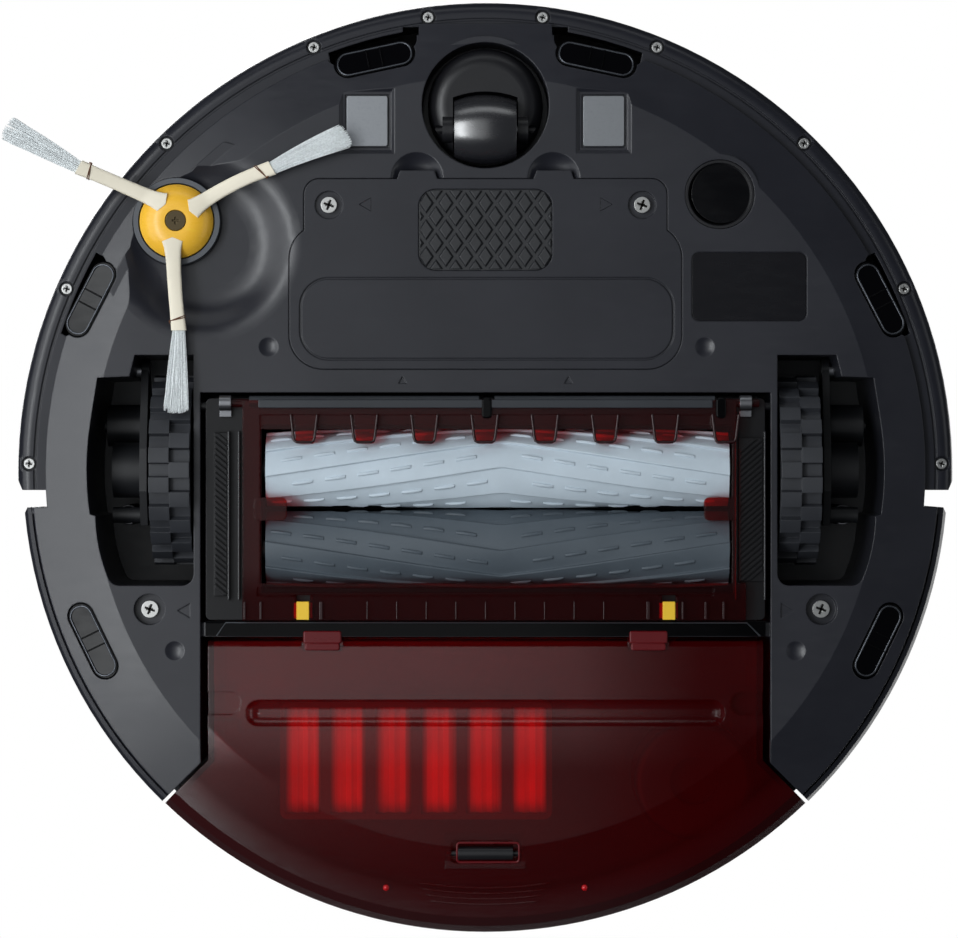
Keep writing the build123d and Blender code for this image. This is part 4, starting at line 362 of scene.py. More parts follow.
def prism(mesh, outline, low, high, inset=0.0):
    """Adds an upright prism over an outline of (x, y) points; inset draws its low end in."""
    count = len(outline)
    middle = Vector((sum(p[0] for p in outline) / count, sum(p[1] for p in outline) / count))
    bottom, top = [], []
    for x, y in outline:
        out = Vector((x, y)) - middle
        near = middle + out * (1 - inset / max(out.length, 1e-9))
        bottom.append(mesh.verts.new((near.x, near.y, low)))
        top.append(mesh.verts.new((x, y, high)))
    mesh.faces.new(bottom[::-1])
    mesh.faces.new(top)
    for i in range(count):
        j = (i + 1) % count
        mesh.faces.new((bottom[i], bottom[j], top[j], top[i]))


def rounded_outline(x0, y0, x1, y1, radius, steps=6):
    """Points round a rectangle with rounded corners."""
    points = []
    corners = [(x1 - radius, y1 - radius, 0), (x0 + radius, y1 - radius, 90),
               (x0 + radius, y0 + radius, 180), (x1 - radius, y0 + radius, 270)]
    for x, y, start in corners:
        for step in range(steps + 1):
            angle = math.radians(start + 90 * step / steps)
            points.append((x + radius * math.cos(angle), y + radius * math.sin(angle)))
    return points


def tube(mesh, path, radii, sides=8):
    """Adds a closed tube along a path that isn't upright, with one radius or a radius at each point."""
    if not isinstance(radii, list):
        radii = [radii] * len(path)
    rings = []
    for i, point in enumerate(path):
        ahead = path[min(i + 1, len(path) - 1)] - path[max(i - 1, 0)]
        ahead.normalize()
        across = ahead.cross(Vector((0, 0, 1)))
        across.normalize()
        over = across.cross(ahead)
        ring = []
        for side in range(sides):
            angle = 2 * math.pi * side / sides
            offset = across * (math.cos(angle) * radii[i]) + over * (math.sin(angle) * radii[i])
            ring.append(mesh.verts.new(point + offset))
        rings.append(ring)
    for a, b in zip(rings, rings[1:]):
        for side in range(sides):
            other = (side + 1) % sides
            mesh.faces.new((a[side], a[other], b[other], b[side]))
    mesh.faces.new(rings[0][::-1])
    mesh.faces.new(rings[-1])


def spun(mesh, profile, centre, steps):
    """Adds an upright closed solid of revolution, whose profile is (radius, height) points."""
    rings = []
    for radius, height in profile:
        ring = []
        for step in range(steps):
            angle = 2 * math.pi * step / steps
            spot = Vector((radius * math.cos(angle), radius * math.sin(angle), height))
            ring.append(mesh.verts.new(spot + centre))
        rings.append(ring)
    for a, b in zip(rings, rings[1:]):
        for step in range(steps):
            other = (step + 1) % steps
            mesh.faces.new((a[step], a[other], b[other], b[step]))
    mesh.faces.new(rings[0])
    mesh.faces.new(rings[-1][::-1])


def heads(node, apart=7 * MM):
    """The middle of each screw head in a node of many screws, at its lowest height."""
    groups = []
    for vertex in frame["nodes"][node].data.vertices:
        for group in groups:
            if math.hypot(vertex.co.x - group[0].x, vertex.co.y - group[0].y) < apart:
                group.append(vertex.co)
                break
        else:
            groups.append([vertex.co])
    spots = []
    for group in groups:
        low_x, high_x = min(v.x for v in group), max(v.x for v in group)
        low_y, high_y = min(v.y for v in group), max(v.y for v in group)
        spots.append(Vector(((low_x + high_x) / 2, (low_y + high_y) / 2, min(v.z for v in group))))
    return spots


# ---------------------------------------------------------------- rollers
RIBS = 9
RIB_TWIST = math.radians(54)
RIB_STEP = 1.05 * MM
DASH_LENGTH, DASH_PITCH = 7.5 * MM, 12.2 * MM
DASH_WIDTH, DASH_HEIGHT = 1.5 * MM, 0.8 * MM
# How far the V's point is off the middle, how softly it is rounded, and where the dashes lie on a rib
APEX_SHIFT, APEX_ROUNDING, DASH_PLACE = 1.5 * MM, 1.2 * MM, 0.42
# One rib's outline round the roller: (share of the pitch, share of the step)
RIB_PROFILE = [(0.0, 0.0), (0.12, 0.06), (0.4, 0.3), (0.7, 0.62), (0.86, 0.9), (0.92, 1.0), (0.955, 0.86),
               (0.975, 0.05)]
# One dash's section: (share of its width, share of its height)
DASH_SECTION = [(-0.5, 0.0), (-0.36, 0.8), (0, 1.0), (0.36, 0.8), (0.5, 0.0)]


def roller(name, node, slot, body, turn):
    """One extractor roller: slanting ribs that meet in a V, with a row of short dashes between them."""
    low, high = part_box(node)
    axis_y, axis_z = (low.y + high.y) / 2, (low.z + high.z) / 2
    middle = (low.x + high.x) / 2 + APEX_SHIFT
    outer = (high.z - low.z) / 2
    half = (high.x - low.x) / 2
    edge_drop = 0.8 * MM

    def rib_angle(x):
        """How far the ribs have turned at x, from the V's point."""
        away = math.hypot(x - middle, APEX_ROUNDING)
        return turn * RIB_TWIST * away / half

    def surface_radius(x, lift):
        """The ribs' radius at x, at a share of the step; the roller is slightly thicker in the middle."""
        return outer - edge_drop * ((x - middle) / half) ** 2 - RIB_STEP * (1 - lift)

    def on_roller(x, radius, angle):
        """A point at an angle from straight below, at a distance from the roller's axis."""
        return x, axis_y + radius * math.sin(angle), axis_z - radius * math.cos(angle)

    mesh = bmesh.new()
    stations = 96
    xs = [low.x + (high.x - low.x) * i / stations for i in range(stations + 1)]
    rings = []
    for x in xs:
        ring = []
        for rib in range(RIBS):
            for share, lift in RIB_PROFILE:
                angle = 2 * math.pi * (rib + (share if turn > 0 else 1 - share)) / RIBS + rib_angle(x)
                radius = min(surface_radius(x, lift), outer)
                ring.append((angle, radius))
        ring.sort(key=lambda item: item[0])
        rings.append([mesh.verts.new(on_roller(x, radius, angle)) for angle, radius in ring])
    inner = 10.2 * MM
    count = len(rings[0])
    for x in (low.x, high.x):
        hub = []
        for i in range(count):
            hub.append(mesh.verts.new(on_roller(x, inner, 2 * math.pi * i / count + rib_angle(x))))
        rings.insert(0 if x == low.x else len(rings), hub)
    for a, b in zip(rings, rings[1:]):
        for i in range(len(a)):
            j = (i + 1) % len(a)
            mesh.faces.new((a[i], a[j], b[j], b[i]))
    mesh.faces.new(rings[0])
    mesh.faces.new(rings[-1][::-1])
    build(name, mesh, slot, body, replaced=(node,), smooth=30)

    dashes = bmesh.new()
    for rib in range(RIBS):
        start = low.x + 2 * MM + (rib % 3) * DASH_PITCH / 3
        while start + DASH_LENGTH < high.x - 2 * MM:
            centre = start + DASH_LENGTH / 2
            base = 2 * math.pi * (rib + (DASH_PLACE if turn > 0 else 1 - DASH_PLACE)) / RIBS
            if abs(centre - middle) > DASH_LENGTH * 0.75:
                ends = []
                for x in [start + DASH_LENGTH * k / 4 for k in range(5)]:
                    angle = base + rib_angle(x)
                    root = surface_radius(x, 0.2)
                    row = []
                    for across, up in DASH_SECTION:
                        taper = 0.55 if x in (start, start + DASH_LENGTH) else 1.0
                        radius = min(root + up * taper * DASH_HEIGHT, outer)
                        turned = angle + across * DASH_WIDTH / outer
                        row.append(dashes.verts.new(on_roller(x, radius, turned)))
                    ends.append(row)
                for a, b in zip(ends, ends[1:]):
                    for i in range(4):
                        dashes.faces.new((a[i], a[i + 1], b[i + 1], b[i]))
                    dashes.faces.new((a[4], a[0], b[0], b[4]))
                dashes.faces.new(ends[0][::-1])
                dashes.faces.new(ends[-1])
            start += DASH_PITCH
    build(f"{name}_dashes", dashes, slot, body, smooth=60)


roller("front_roller", "front_roller_tread", "roller_pale", "front_roller", 1)
roller("rear_roller", "rear_roller_tread", "roller_grey", "rear_roller", -1)

# ---------------------------------------------------------------- side brush
brush_low, brush_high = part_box("side_brush_hub")
BRUSH = Vector(((brush_low.x + brush_high.x) / 2, (brush_low.y + brush_high.y) / 2, 0))
REACH_ROOT, REACH_TIE, REACH_RUBBER, REACH_TIP = 6.2 * MM, 36.5 * MM, 41.0 * MM, 72.0 * MM
# Each arm's direction, how far it bows sideways at its root, middle and end, and the same for its
# strands' tips, in millimetres
BRUSH_ARMS = [(90, 1.2, 0.3, -1.4, -0.5), (210, 3.4, 1.4, -0.8, -1.4), (330, -0.5, -1.1, 1.2, 4.6)]
STRANDS = 170
ARM_WIDTH, ARM_THICK, ARM_SQUARENESS = 5.3 * MM, 2.3 * MM, 0.55
# An arm's root is wider, thinner and hollow towards the hub, and its mouth opens past a share of its length.
ROOT_LENGTH, ROOT_WIDER, ROOT_THINNER, ROOT_HOLLOW = 4.5 * MM, 2.6 * MM, 0.9 * MM, 1.6 * MM
MOUTH_START, MOUTH_WIDER = 0.8, 2.5 * MM
THREAD_HALF_WIDTH, THREAD_HALF_HEIGHT, THREAD_RADIUS = 3.05 * MM, 1.35 * MM, 0.2 * MM


def arm_frame(angle):
    """An arm's direction along the floor, and the direction across it."""
    turn = math.radians(angle)
    return Vector((math.cos(turn), math.sin(turn), 0)), Vector((-math.sin(turn), math.cos(turn), 0))


def arm_bow(bows, reach):
    """How far an arm lies to the side at that reach: a parabola through its three bows."""
    root, middle, end = [b * MM for b in bows]
    t = min(max((reach - REACH_ROOT) / (REACH_RUBBER - REACH_ROOT), 0), 1)
    return root * (1 - t) * (1 - 2 * t) + middle * 4 * t * (1 - t) + end * t * (2 * t - 1)


def arm_height(reach):
    """Height of an arm's middle: over the hub's dome, then straight down towards the floor."""
    points = [(REACH_ROOT, 6.3 * MM), (10 * MM, 6.7 * MM), (14 * MM, 7.2 * MM), (28 * MM, 5.8 * MM),
              (REACH_RUBBER, 4.5 * MM), (REACH_TIP, 1.9 * MM)]
    for (r0, z0), (r1, z1) in zip(points, points[1:]):
        if reach <= r1:
            return z0 + (z1 - z0) * (reach - r0) / (r1 - r0)
    return points[-1][1]


arms = bmesh.new()
threads = bmesh.new()
strands = bmesh.new()
for angle, *bows, tip_bow in BRUSH_ARMS:
    along, across = arm_frame(angle)
    stations = 26
    rings = []
    for i in range(stations + 1):
        reach = REACH_ROOT + (REACH_RUBBER - REACH_ROOT) * i / stations
        t = i / stations
        flare = math.exp(-(reach - REACH_ROOT) / ROOT_LENGTH)
        width = ARM_WIDTH + ROOT_WIDER * flare + MOUTH_WIDER * max(0, t - MOUTH_START)
        thick = ARM_THICK - ROOT_THINNER * flare
        centre = BRUSH + along * reach + across * arm_bow(bows, reach) + Vector((0, 0, arm_height(reach)))
        sides = 16
        ring = []
        for side in range(sides):
            turn = 2 * math.pi * side / sides
            flat, rise = math.cos(turn), math.sin(turn)
            flat = math.copysign(abs(flat) ** ARM_SQUARENESS, flat)
            rise = math.copysign(abs(rise) ** ARM_SQUARENESS, rise)
            offset = across * (flat * width / 2) + Vector((0, 0, rise * thick / 2))
            ring.append(arms.verts.new(centre + offset + along * (abs(flat) * ROOT_HOLLOW * flare)))
        rings.append(ring)
    for a, b in zip(rings, rings[1:]):
        for side in range(sides):
            other = (side + 1) % sides
            arms.faces.new((a[side], a[other], b[other], b[side]))
    arms.faces.new(rings[0][::-1])
    arms.faces.new(rings[-1])

    # The thread: one slanting turn round the arm, a second beside it, and a small knot.
    for shift, slant in ((0.0, 2.2), (0.35, 1.4)):
        turn_path = []
        for step in range(25):
            turn = 2 * math.pi * step / 24
            reach = REACH_TIE + (shift + slant * math.cos(turn) / 2) * MM
            side = arm_bow(bows, reach) + math.cos(turn) * THREAD_HALF_WIDTH
            high = arm_height(reach) + math.sin(turn) * THREAD_HALF_HEIGHT
            turn_path.append(BRUSH + along * reach + across * side + Vector((0, 0, high)))
        tube(threads, turn_path, THREAD_RADIUS, sides=6)
    knot = BRUSH + along * (REACH_TIE + 1.1 * MM) + across * (arm_bow(bows, REACH_TIE) + 2.9 * MM)
    knot += Vector((0, 0, arm_height(REACH_TIE) - 0.9 * MM))
    knot_path = [knot - along * 0.5 * MM, knot, knot + along * 0.9 * MM]
    tube(threads, knot_path, [0.2 * MM, 0.42 * MM, 0.14 * MM], sides=8)

    # The strands fan out from the arm's mouth, each with its own small bend.
    end_bow = arm_bow(bows, REACH_RUBBER)
    for strand in range(STRANDS):
        spread = random.uniform(-1, 1)
        lift = random.uniform(-1, 1) * math.sqrt(1 - min(1, abs(spread)) ** 2)
        bend = random.gauss(0, 0.25 * MM)
        tip = REACH_TIP - abs(random.gauss(0, 1.1 * MM)) - 1.2 * MM * abs(spread) ** 3
        path = []
        for k in range(8):
            t = k / 7
            reach = REACH_RUBBER - 3 * MM + (tip - REACH_RUBBER + 3 * MM) * t
            half = (2.1 + 2.6 * t ** 1.3) * MM
            side = end_bow + (tip_bow * MM - end_bow) * t ** 1.6 + spread * half
            side += bend * math.sin(math.pi * t)
            high = arm_height(reach) + lift * (0.75 - 0.2 * t) * MM
            path.append(BRUSH + along * reach + across * side + Vector((0, 0, high)))
        tube(strands, path, [0.14 * MM] * 7 + [0.08 * MM], sides=4)
build("brush_arms", arms, "arm_rubber", "side_brush", replaced=("side_brush_arms",), smooth=50)
thread_finish = rubber("thread", srgb(96, 58, 34), 0.7, grain=0.15 * MM)
build("brush_threads", threads, "arm_rubber", "side_brush", smooth=80, material=thread_finish)
build("brush_strands", strands, "bristle", "side_brush", replaced=("side_brush_bristles",), smooth=80)

# ---------------------------------------------------------------- grip patch of the battery cover
grip_low, grip_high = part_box("cover_grip")
DIAMOND_PITCH, ROW_PITCH = 7.4 * MM, 5.0 * MM
DIAMOND_HALF_X, DIAMOND_HALF_Y = 3.05 * MM, 4.1 * MM
PATTERN_HALF_X, PATTERN_HALF_Y, PATTERN_MARGIN, PATTERN_CORNER = 26 * MM, 15.5 * MM, 0.5 * MM, 3.2 * MM
grip = bmesh.new()
plate_z = grip_high.z
base_z = plate_z - 0.35 * MM
prism(grip, rounded_outline(grip_low.x, grip_low.y, grip_high.x, grip_high.y, 6.3 * MM), base_z, plate_z)
grip_middle = (grip_low + grip_high) / 2
for row in range(-3, 4):
    shift = DIAMOND_PITCH / 2 if row % 2 else 0
    for column in range(-4, 5):
        x = grip_middle.x + column * DIAMOND_PITCH + shift
        y = grip_middle.y + row * ROW_PITCH
        if abs(x - grip_middle.x) > PATTERN_HALF_X or abs(y - grip_middle.y) > PATTERN_HALF_Y:
            continue
        diamond = bmesh.new()
        outline = [(x + DIAMOND_HALF_X, y), (x, y + DIAMOND_HALF_Y), (x - DIAMOND_HALF_X, y),
                   (x, y - DIAMOND_HALF_Y)]
        prism(diamond, outline, grip_low.z, base_z + 0.05 * MM, inset=0.9 * MM)
        # The planes that trim the pattern: one along each side, and one across each corner
        planes = [((grip_high.x - PATTERN_MARGIN, 0, 0), (1, 0, 0)),
                  ((grip_low.x + PATTERN_MARGIN, 0, 0), (-1, 0, 0)),
                  ((0, grip_high.y - PATTERN_MARGIN, 0), (0, 1, 0)),
                  ((0, grip_low.y + PATTERN_MARGIN, 0), (0, -1, 0))]
        for sx in (-1, 1):
            for sy in (-1, 1):
                spot = (grip_middle.x + sx * ((grip_high.x - grip_low.x) / 2 - PATTERN_CORNER),
                        grip_middle.y + sy * (grip_high.y - grip_low.y) / 2, 0)
                planes.append((spot, (sx, sy, 0)))
        for spot, normal in planes:
            whole = diamond.verts[:] + diamond.edges[:] + diamond.faces[:]
            cut = bmesh.ops.bisect_plane(diamond, geom=whole, plane_co=spot, plane_no=normal,
                                         clear_outer=True)
            rim = [g for g in cut["geom_cut"] if isinstance(g, bmesh.types.BMEdge)]
            if rim:
                bmesh.ops.holes_fill(diamond, edges=rim)
        if diamond.verts:
            copy = bpy.data.meshes.new("diamond")
            diamond.to_mesh(copy)
            grip.from_mesh(copy)
            bpy.data.meshes.remove(copy)
        diamond.free()
build("grip_diamonds", grip, "grip_rubber", "chassis", replaced=("cover_grip",), smooth=25, bevel=0.12 * MM)

# ---------------------------------------------------------------- small parts of the underside
motor_finish = moulded("motor_dark", srgb(34, 35, 38), 0.42)
gloss_black = moulded("gloss_black", srgb(4, 4, 5), 0.12, depth=0.001 * MM, ior=1.22, edge=0.3 * MM)
housing_finish = moulded("housing_dark", srgb(11, 11, 14), 0.36, edge=0.5 * MM, ior=1.36)
wheel_finish = moulded("wheel_gloss", srgb(26, 26, 30), 0.24, depth=0.004 * MM, ior=2.3)
rear_finish = moulded("rear_plastic", SHELL, 0.36, depth=0.008 * MM, edge=0.6 * MM, ior=1.38)
bronze = metal("bronze", srgb(84, 74, 56), 0.35)
own_finish = {"left_wheel_motor": motor_finish, "right_wheel_motor": motor_finish,
              "head_housing": housing_finish, "side_brush_screw": bronze,
              "caster_wheel": wheel_finish, "rear_shell": rear_finish}
for node, finish in own_finish.items():
    frame["nodes"][node].data.materials.clear()
    frame["nodes"][node].data.materials.append(finish)

# The blank plate in the label's recess.
LABEL_X, LABEL_Y, LABEL_HALF_X, LABEL_HALF_Y = 98.5 * MM, -68.5 * MM, 21.2 * MM, 12.7 * MM
belly_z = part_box("battery_cover")[0].z
plate = bmesh.new()
plate_outline = rounded_outline(LABEL_X - LABEL_HALF_X, LABEL_Y - LABEL_HALF_Y, LABEL_X + LABEL_HALF_X,
                                LABEL_Y + LABEL_HALF_Y, 2.8 * MM)
prism(plate, plate_outline, belly_z + 0.3 * MM, belly_z + 0.58 * MM)
plate_finish = moulded("plate_black", srgb(16, 16, 20), 0.24, depth=0.002 * MM, ior=1.35, edge=0.3 * MM)
build("label_plate", plate, "body_plastic", "chassis", smooth=30, material=plate_finish)

# A gloss black strip under the cross bar, and the grey sleeves round the brush frame's hinge rod.
head_low, head_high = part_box("head_housing")
bin_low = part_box("bin_shell")[0]
bar_gap = 0.4 * MM
bar_y0, bar_y1 = head_high.y + bar_gap, bin_low.y + 0.8 * MM
frame_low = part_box("brush_frame")[0]
strip = bmesh.new()
strip_half = 104.6 * MM
strip_z = 9.3 * MM
section = [(bar_y0, strip_z), (bar_y0 + 0.9 * MM, strip_z - 0.5 * MM),
           (bar_y1 - 1.4 * MM, strip_z - 0.1 * MM), (bar_y1 - 1.4 * MM, strip_z + 0.6 * MM),
           (bar_y0, strip_z + 0.6 * MM)]
ends = []
for x in (-strip_half, strip_half):
    ends.append([strip.verts.new((x, y, z)) for y, z in section])
strip.faces.new(ends[0][::-1])
strip.faces.new(ends[1])
for i in range(len(section)):
    j = (i + 1) % len(section)
    strip.faces.new((ends[0][i], ends[0][j], ends[1][j], ends[1][i]))
build("cross_bar_strip", strip, "body_plastic", "chassis", smooth=20, material=gloss_black)

hinge = bmesh.new()
HINGE_Y, HINGE_Z, SLEEVE_RADIUS = -25.7 * MM, 7.4 * MM, 2.0 * MM
SLEEVE_SPANS = [(-88, -2.4), (3.4, 85.5)]
for span in SLEEVE_SPANS:
    ends = [Vector((x * MM, HINGE_Y, HINGE_Z)) for x in span]
    tube(hinge, ends, SLEEVE_RADIUS, sides=24)
sleeve = moulded("hinge_sleeve", srgb(44, 47, 52), 0.35)
build("hinge_sleeves", hinge, "gear_plastic", "cleaning_head", smooth=40, material=sleeve)

hooks = bmesh.new()
HOOK_FRONT, HOOK_REAR, HOOK_HALF = -27.2 * MM, -19.0 * MM, 2.0 * MM
for x in (0.5 * MM, 87.6 * MM):
    outline = rounded_outline(x - HOOK_HALF, HOOK_FRONT, x + HOOK_HALF, HOOK_REAR, 1.6 * MM)
    prism(hooks, outline, frame_low.z - 0.8 * MM, frame_low.z + 0.2 * MM, inset=0.4 * MM)
build("frame_hooks", hooks, "gear_plastic", "brush_frame", smooth=30, bevel=0.4 * MM, material=gloss_black)

# The grey bar along the brush frame's front edge, and the raised rims of its prongs.
bar_front = bmesh.new()
BAR_HALF, BAR_Y0, BAR_Y1 = 84.5 * MM, frame_low.y + 0.3 * MM, frame_low.y + 3.4 * MM
outline = rounded_outline(-BAR_HALF, BAR_Y0, BAR_HALF, BAR_Y1, 0.5 * MM)
prism(bar_front, outline, frame_low.z - 0.35 * MM, frame_low.z + 0.2 * MM)
build("frame_front_bar", bar_front, "frame_red", "brush_frame", smooth=30, bevel=0.3 * MM, material=sleeve)

prong_rims = bmesh.new()
PRONG_COUNT, PRONG_PITCH, PRONG_FIRST_X = 8, 22.4 * MM, -67.5 * MM
# One prong's outline from its root to its tip, in millimetres: (from its middle, along Y)
PRONG_SIDE = [(4.9, -20.6), (3.9, -12.2), (3.5, -10.9), (2.6, -10.4)]
for count in range(PRONG_COUNT):
    x = PRONG_FIRST_X + count * PRONG_PITCH
    path = [(-side, y) for side, y in PRONG_SIDE] + PRONG_SIDE[::-1]
    ring = [Vector((x + side * MM, y * MM, frame_low.z - 0.05 * MM)) for side, y in path]
    tube(prong_rims, ring, 0.55 * MM, sides=12)
prong_finish = moulded("prong_red", srgb(34, 4, 7), 0.22, depth=0.002 * MM, ior=1.45)
build("prong_rims", prong_rims, "frame_red", "brush_frame", smooth=60, material=prong_finish)

# Raised edges on the head's side panels, and the ribs and posts along the brush frame's rear bar.
ridges = bmesh.new()
RIDGE_FRONT, RIDGE_REAR, RIDGE_HALF = -14.5 * MM, 48.5 * MM, 0.35 * MM
for x in (-95.8 * MM, -92.0 * MM, 93.4 * MM, 104.2 * MM):
    outline = rounded_outline(x - RIDGE_HALF, RIDGE_FRONT, x + RIDGE_HALF, RIDGE_REAR, 0.2 * MM, steps=2)
    prism(ridges, outline, head_low.z - 0.25 * MM, head_low.z + 3 * MM)
ridge_finish = moulded("ridge_black", srgb(30, 31, 34), 0.24, edge=0.3 * MM, ior=1.6)
build("head_ridges", ridges, "black_plastic", "cleaning_head", smooth=30, bevel=0.2 * MM,
      material=ridge_finish)

ribs = bmesh.new()
BAR_FRONT, BAR_REAR = 48.9 * MM, 55.6 * MM
RIB_PITCH, RIB_HALF = 11 * MM, 0.2 * MM
# The thicker posts between the ribs, in millimetres: (x, half the width)
POSTS = [(-89.6, 0.4), (-83.6, 0.4), (-61.2, 0.6), (60.5, 0.6), (73.4, 0.4), (81.9, 0.4), (88.6, 0.4)]
for x, half in POSTS:
    outline = rounded_outline((x - half) * MM, BAR_FRONT, (x + half) * MM, BAR_REAR, 0.3 * MM, steps=2)
    prism(ribs, outline, frame_low.z - 0.4 * MM, frame_low.z + 0.4 * MM)
for count in range(-4, 5):
    x = count * RIB_PITCH
    outline = rounded_outline(x - RIB_HALF, BAR_FRONT, x + RIB_HALF, BAR_REAR, 0.15 * MM, steps=2)
    prism(ribs, outline, frame_low.z - 0.12 * MM, frame_low.z + 0.4 * MM)
build("frame_rear_ribs", ribs, "frame_red", "brush_frame", smooth=30, bevel=0.1 * MM, material=prong_finish)

# The edge round the cross bar's recess.
bar_edge = bmesh.new()
EDGE_END_Y, EDGE_Y, EDGE_Z = 62.0 * MM, bar_y0 + 0.6 * MM, strip_z - 0.45 * MM
corners = [(-100.4 * MM, EDGE_END_Y), (-97.0 * MM, EDGE_Y), (97.6 * MM, EDGE_Y), (102.6 * MM, EDGE_END_Y)]
tube(bar_edge, [Vector((x, y, EDGE_Z)) for x, y in corners], 0.32 * MM, sides=10)
build("cross_bar_edge", bar_edge, "body_plastic", "chassis", smooth=60, material=sleeve)

# The bin's two hinge knuckles, which reach over the cross bar, and the rim round its roller.
knuckles = bmesh.new()
KNUCKLE_X, KNUCKLE_HALF = 60.9 * MM, 7.3 * MM
for x in (-KNUCKLE_X, KNUCKLE_X):
    for y0, y1, half in ((bin_low.y - 2.6 * MM, bin_low.y + 2.2 * MM, KNUCKLE_HALF),
                         (bin_low.y + 2.0 * MM, bin_low.y + 4.8 * MM, KNUCKLE_HALF - 0.6 * MM)):
        outline = rounded_outline(x - half, y0, x + half, y1, 0.8 * MM)
        prism(knuckles, outline, bin_low.z - 0.9 * MM, bin_low.z + 0.3 * MM, inset=0.3 * MM)
knuckle_finish = moulded("knuckle_red", srgb(88, 6, 14), 0.28, depth=0.002 * MM, ior=1.4)
build("bin_knuckles", knuckles, "bin_red", "dust_bin", smooth=30, bevel=0.35 * MM, material=knuckle_finish)

# Raised finger arcs and two small bosses on the slope of the bin.
arcs = bmesh.new()
SLOPE_START_R, SLOPE = 141.0 * MM, 0.252
# The first arc's radius and half its width, and what each further arc adds and loses
ARC_RADIUS, ARC_HALF, ARC_PITCH, ARC_SHORTER = 156.5 * MM, 25 * MM, 2.1 * MM, 1.5 * MM
for count in range(4):
    radius = ARC_RADIUS + count * ARC_PITCH
    z = bin_low.z + (radius - SLOPE_START_R) * SLOPE
    reach = math.asin((ARC_HALF - count * ARC_SHORTER) / radius)
    path = []
    for step in range(33):
        angle = -reach + 2 * reach * step / 32
        path.append(Vector((radius * math.sin(angle), radius * math.cos(angle), z)))
    tube(arcs, path, [0.1 * MM] + [0.42 * MM] * 31 + [0.1 * MM], sides=10)
build("bin_grip_arcs", arcs, "bin_red", "dust_bin", smooth=60)

bosses = bmesh.new()
BOSS_X, BOSS_Y = 37.2 * MM, 156.5 * MM
for x in (-BOSS_X, BOSS_X):
    z = bin_low.z + (math.hypot(x, BOSS_Y) - SLOPE_START_R) * SLOPE
    profile = [(0.01, -0.7), (0.8, -0.6), (1.3, 0.4), (0.01, 0.5)]
    points = [(radius * MM, z + height * MM) for radius, height in profile]
    spun(bosses, points, Vector((x, BOSS_Y, 0)), steps=20)
boss_finish = moulded("boss_red", srgb(176, 10, 20), 0.3, depth=0.002 * MM)
build("bin_bosses", bosses, "bin_red", "dust_bin", smooth=60, material=boss_finish)

roller_rim = bmesh.new()
loop = []
RIM_X0, RIM_X1, RIM_Y0, RIM_Y1 = -10.6 * MM, 12.6 * MM, 139.2 * MM, 146.6 * MM
for x, y in rounded_outline(RIM_X0, RIM_Y0, RIM_X1, RIM_Y1, 1.2 * MM):
    loop.append(Vector((x, y, bin_low.z + max(0, math.hypot(x, y) - SLOPE_START_R) * SLOPE - 0.05 * MM)))
tube(roller_rim, loop + loop[:1], 0.45 * MM)
build("bin_roller_rim", roller_rim, "bin_red", "dust_bin", smooth=60, material=knuckle_finish)

# Small triangles on the battery cover that point at its screws.
arrows = bmesh.new()
ARROW_X, ARROW_Y, ARROW_R = 44.3 * MM, -99.2 * MM, 2.9 * MM
for side in (-1, 1):
    loop = []
    for count in range(4):
        turn = 2 * math.pi * count / 3
        x = side * (ARROW_X + ARROW_R * math.cos(turn))
        loop.append(Vector((x, ARROW_Y + ARROW_R * math.sin(turn), belly_z)))
    tube(arrows, loop, 0.2 * MM, sides=6)
build("cover_arrows", arrows, "cover_plastic", "chassis", smooth=60)

# Dark crosses on the screw heads: painted shade standing in for the shade in their cross recesses.
cross_shade_finish = metal("painted_cross_shade", srgb(38, 37, 36), 0.5)
CROSS_TURN = 20
for node, body, arm, width in (("underside_screws", "chassis", 2.0 * MM, 0.42 * MM),
                               ("bumper_screws", "bumper", 1.05 * MM, 0.24 * MM)):
    crosses = bmesh.new()
    for head in heads(node):
        for turn in (CROSS_TURN, CROSS_TURN + 90):
            along = Vector((math.cos(math.radians(turn)), math.sin(math.radians(turn)), 0))
            across = Vector((-along.y, along.x, 0))
            signs = ((-1, -1), (1, -1), (1, 1), (-1, 1))
            corners = [head + along * a * arm + across * b * width for a, b in signs]
            prism(crosses, [(c.x, c.y) for c in corners], head.z - 0.03 * MM, head.z + 0.3 * MM)
    build(f"{node}_crosses", crosses, "screw_steel", body, smooth=20, material=cross_shade_finish)

# A gloss black bowl in the round signal window.
SIGNAL_X, SIGNAL_Y, SIGNAL_R = 88.3 * MM, -103.6 * MM, 11.3 * MM
bowl = bmesh.new()
profile = []
for step in range(13):
    turn = math.radians(90 * (1 - step / 12))
    profile.append((max(SIGNAL_R * math.sin(turn), 0.01 * MM), belly_z + (2.0 + 4.2 * math.cos(turn)) * MM))
profile += [(0.01 * MM, belly_z + 6.7 * MM), (SIGNAL_R, belly_z + 6.7 * MM)]
spun(bowl, profile, Vector((SIGNAL_X, SIGNAL_Y, 0)), steps=64)
signal_finish = moulded("signal_black", srgb(3, 3, 5), 0.1, depth=0.001 * MM, ior=1.5)
build("signal_bowl", bowl, "lens_plastic", "chassis", smooth=60, material=signal_finish)

# Dividing bars and raised rims on the cliff sensor windows, which slope up outside the border's start.
cells = bmesh.new()
rims = bmesh.new()
WINDOW_HALF, WINDOW_SIDE, DIVIDER_X, DIVIDER_HALF = 14.0 * MM, 4.1 * MM, 2.6 * MM, 4.0 * MM
# Where the windows on one side are, in millimetres, and how far each is turned, in degrees
CLIFF_SPOTS = [(41.5, -154.0, 12.0), (148.0, -64.0, 62.5), (147.0, 64.0, -64.0)]
WINDOW_Z, WINDOW_BEND_R, WINDOW_SLOPE = 9.2 * MM, 147 * MM, 0.3


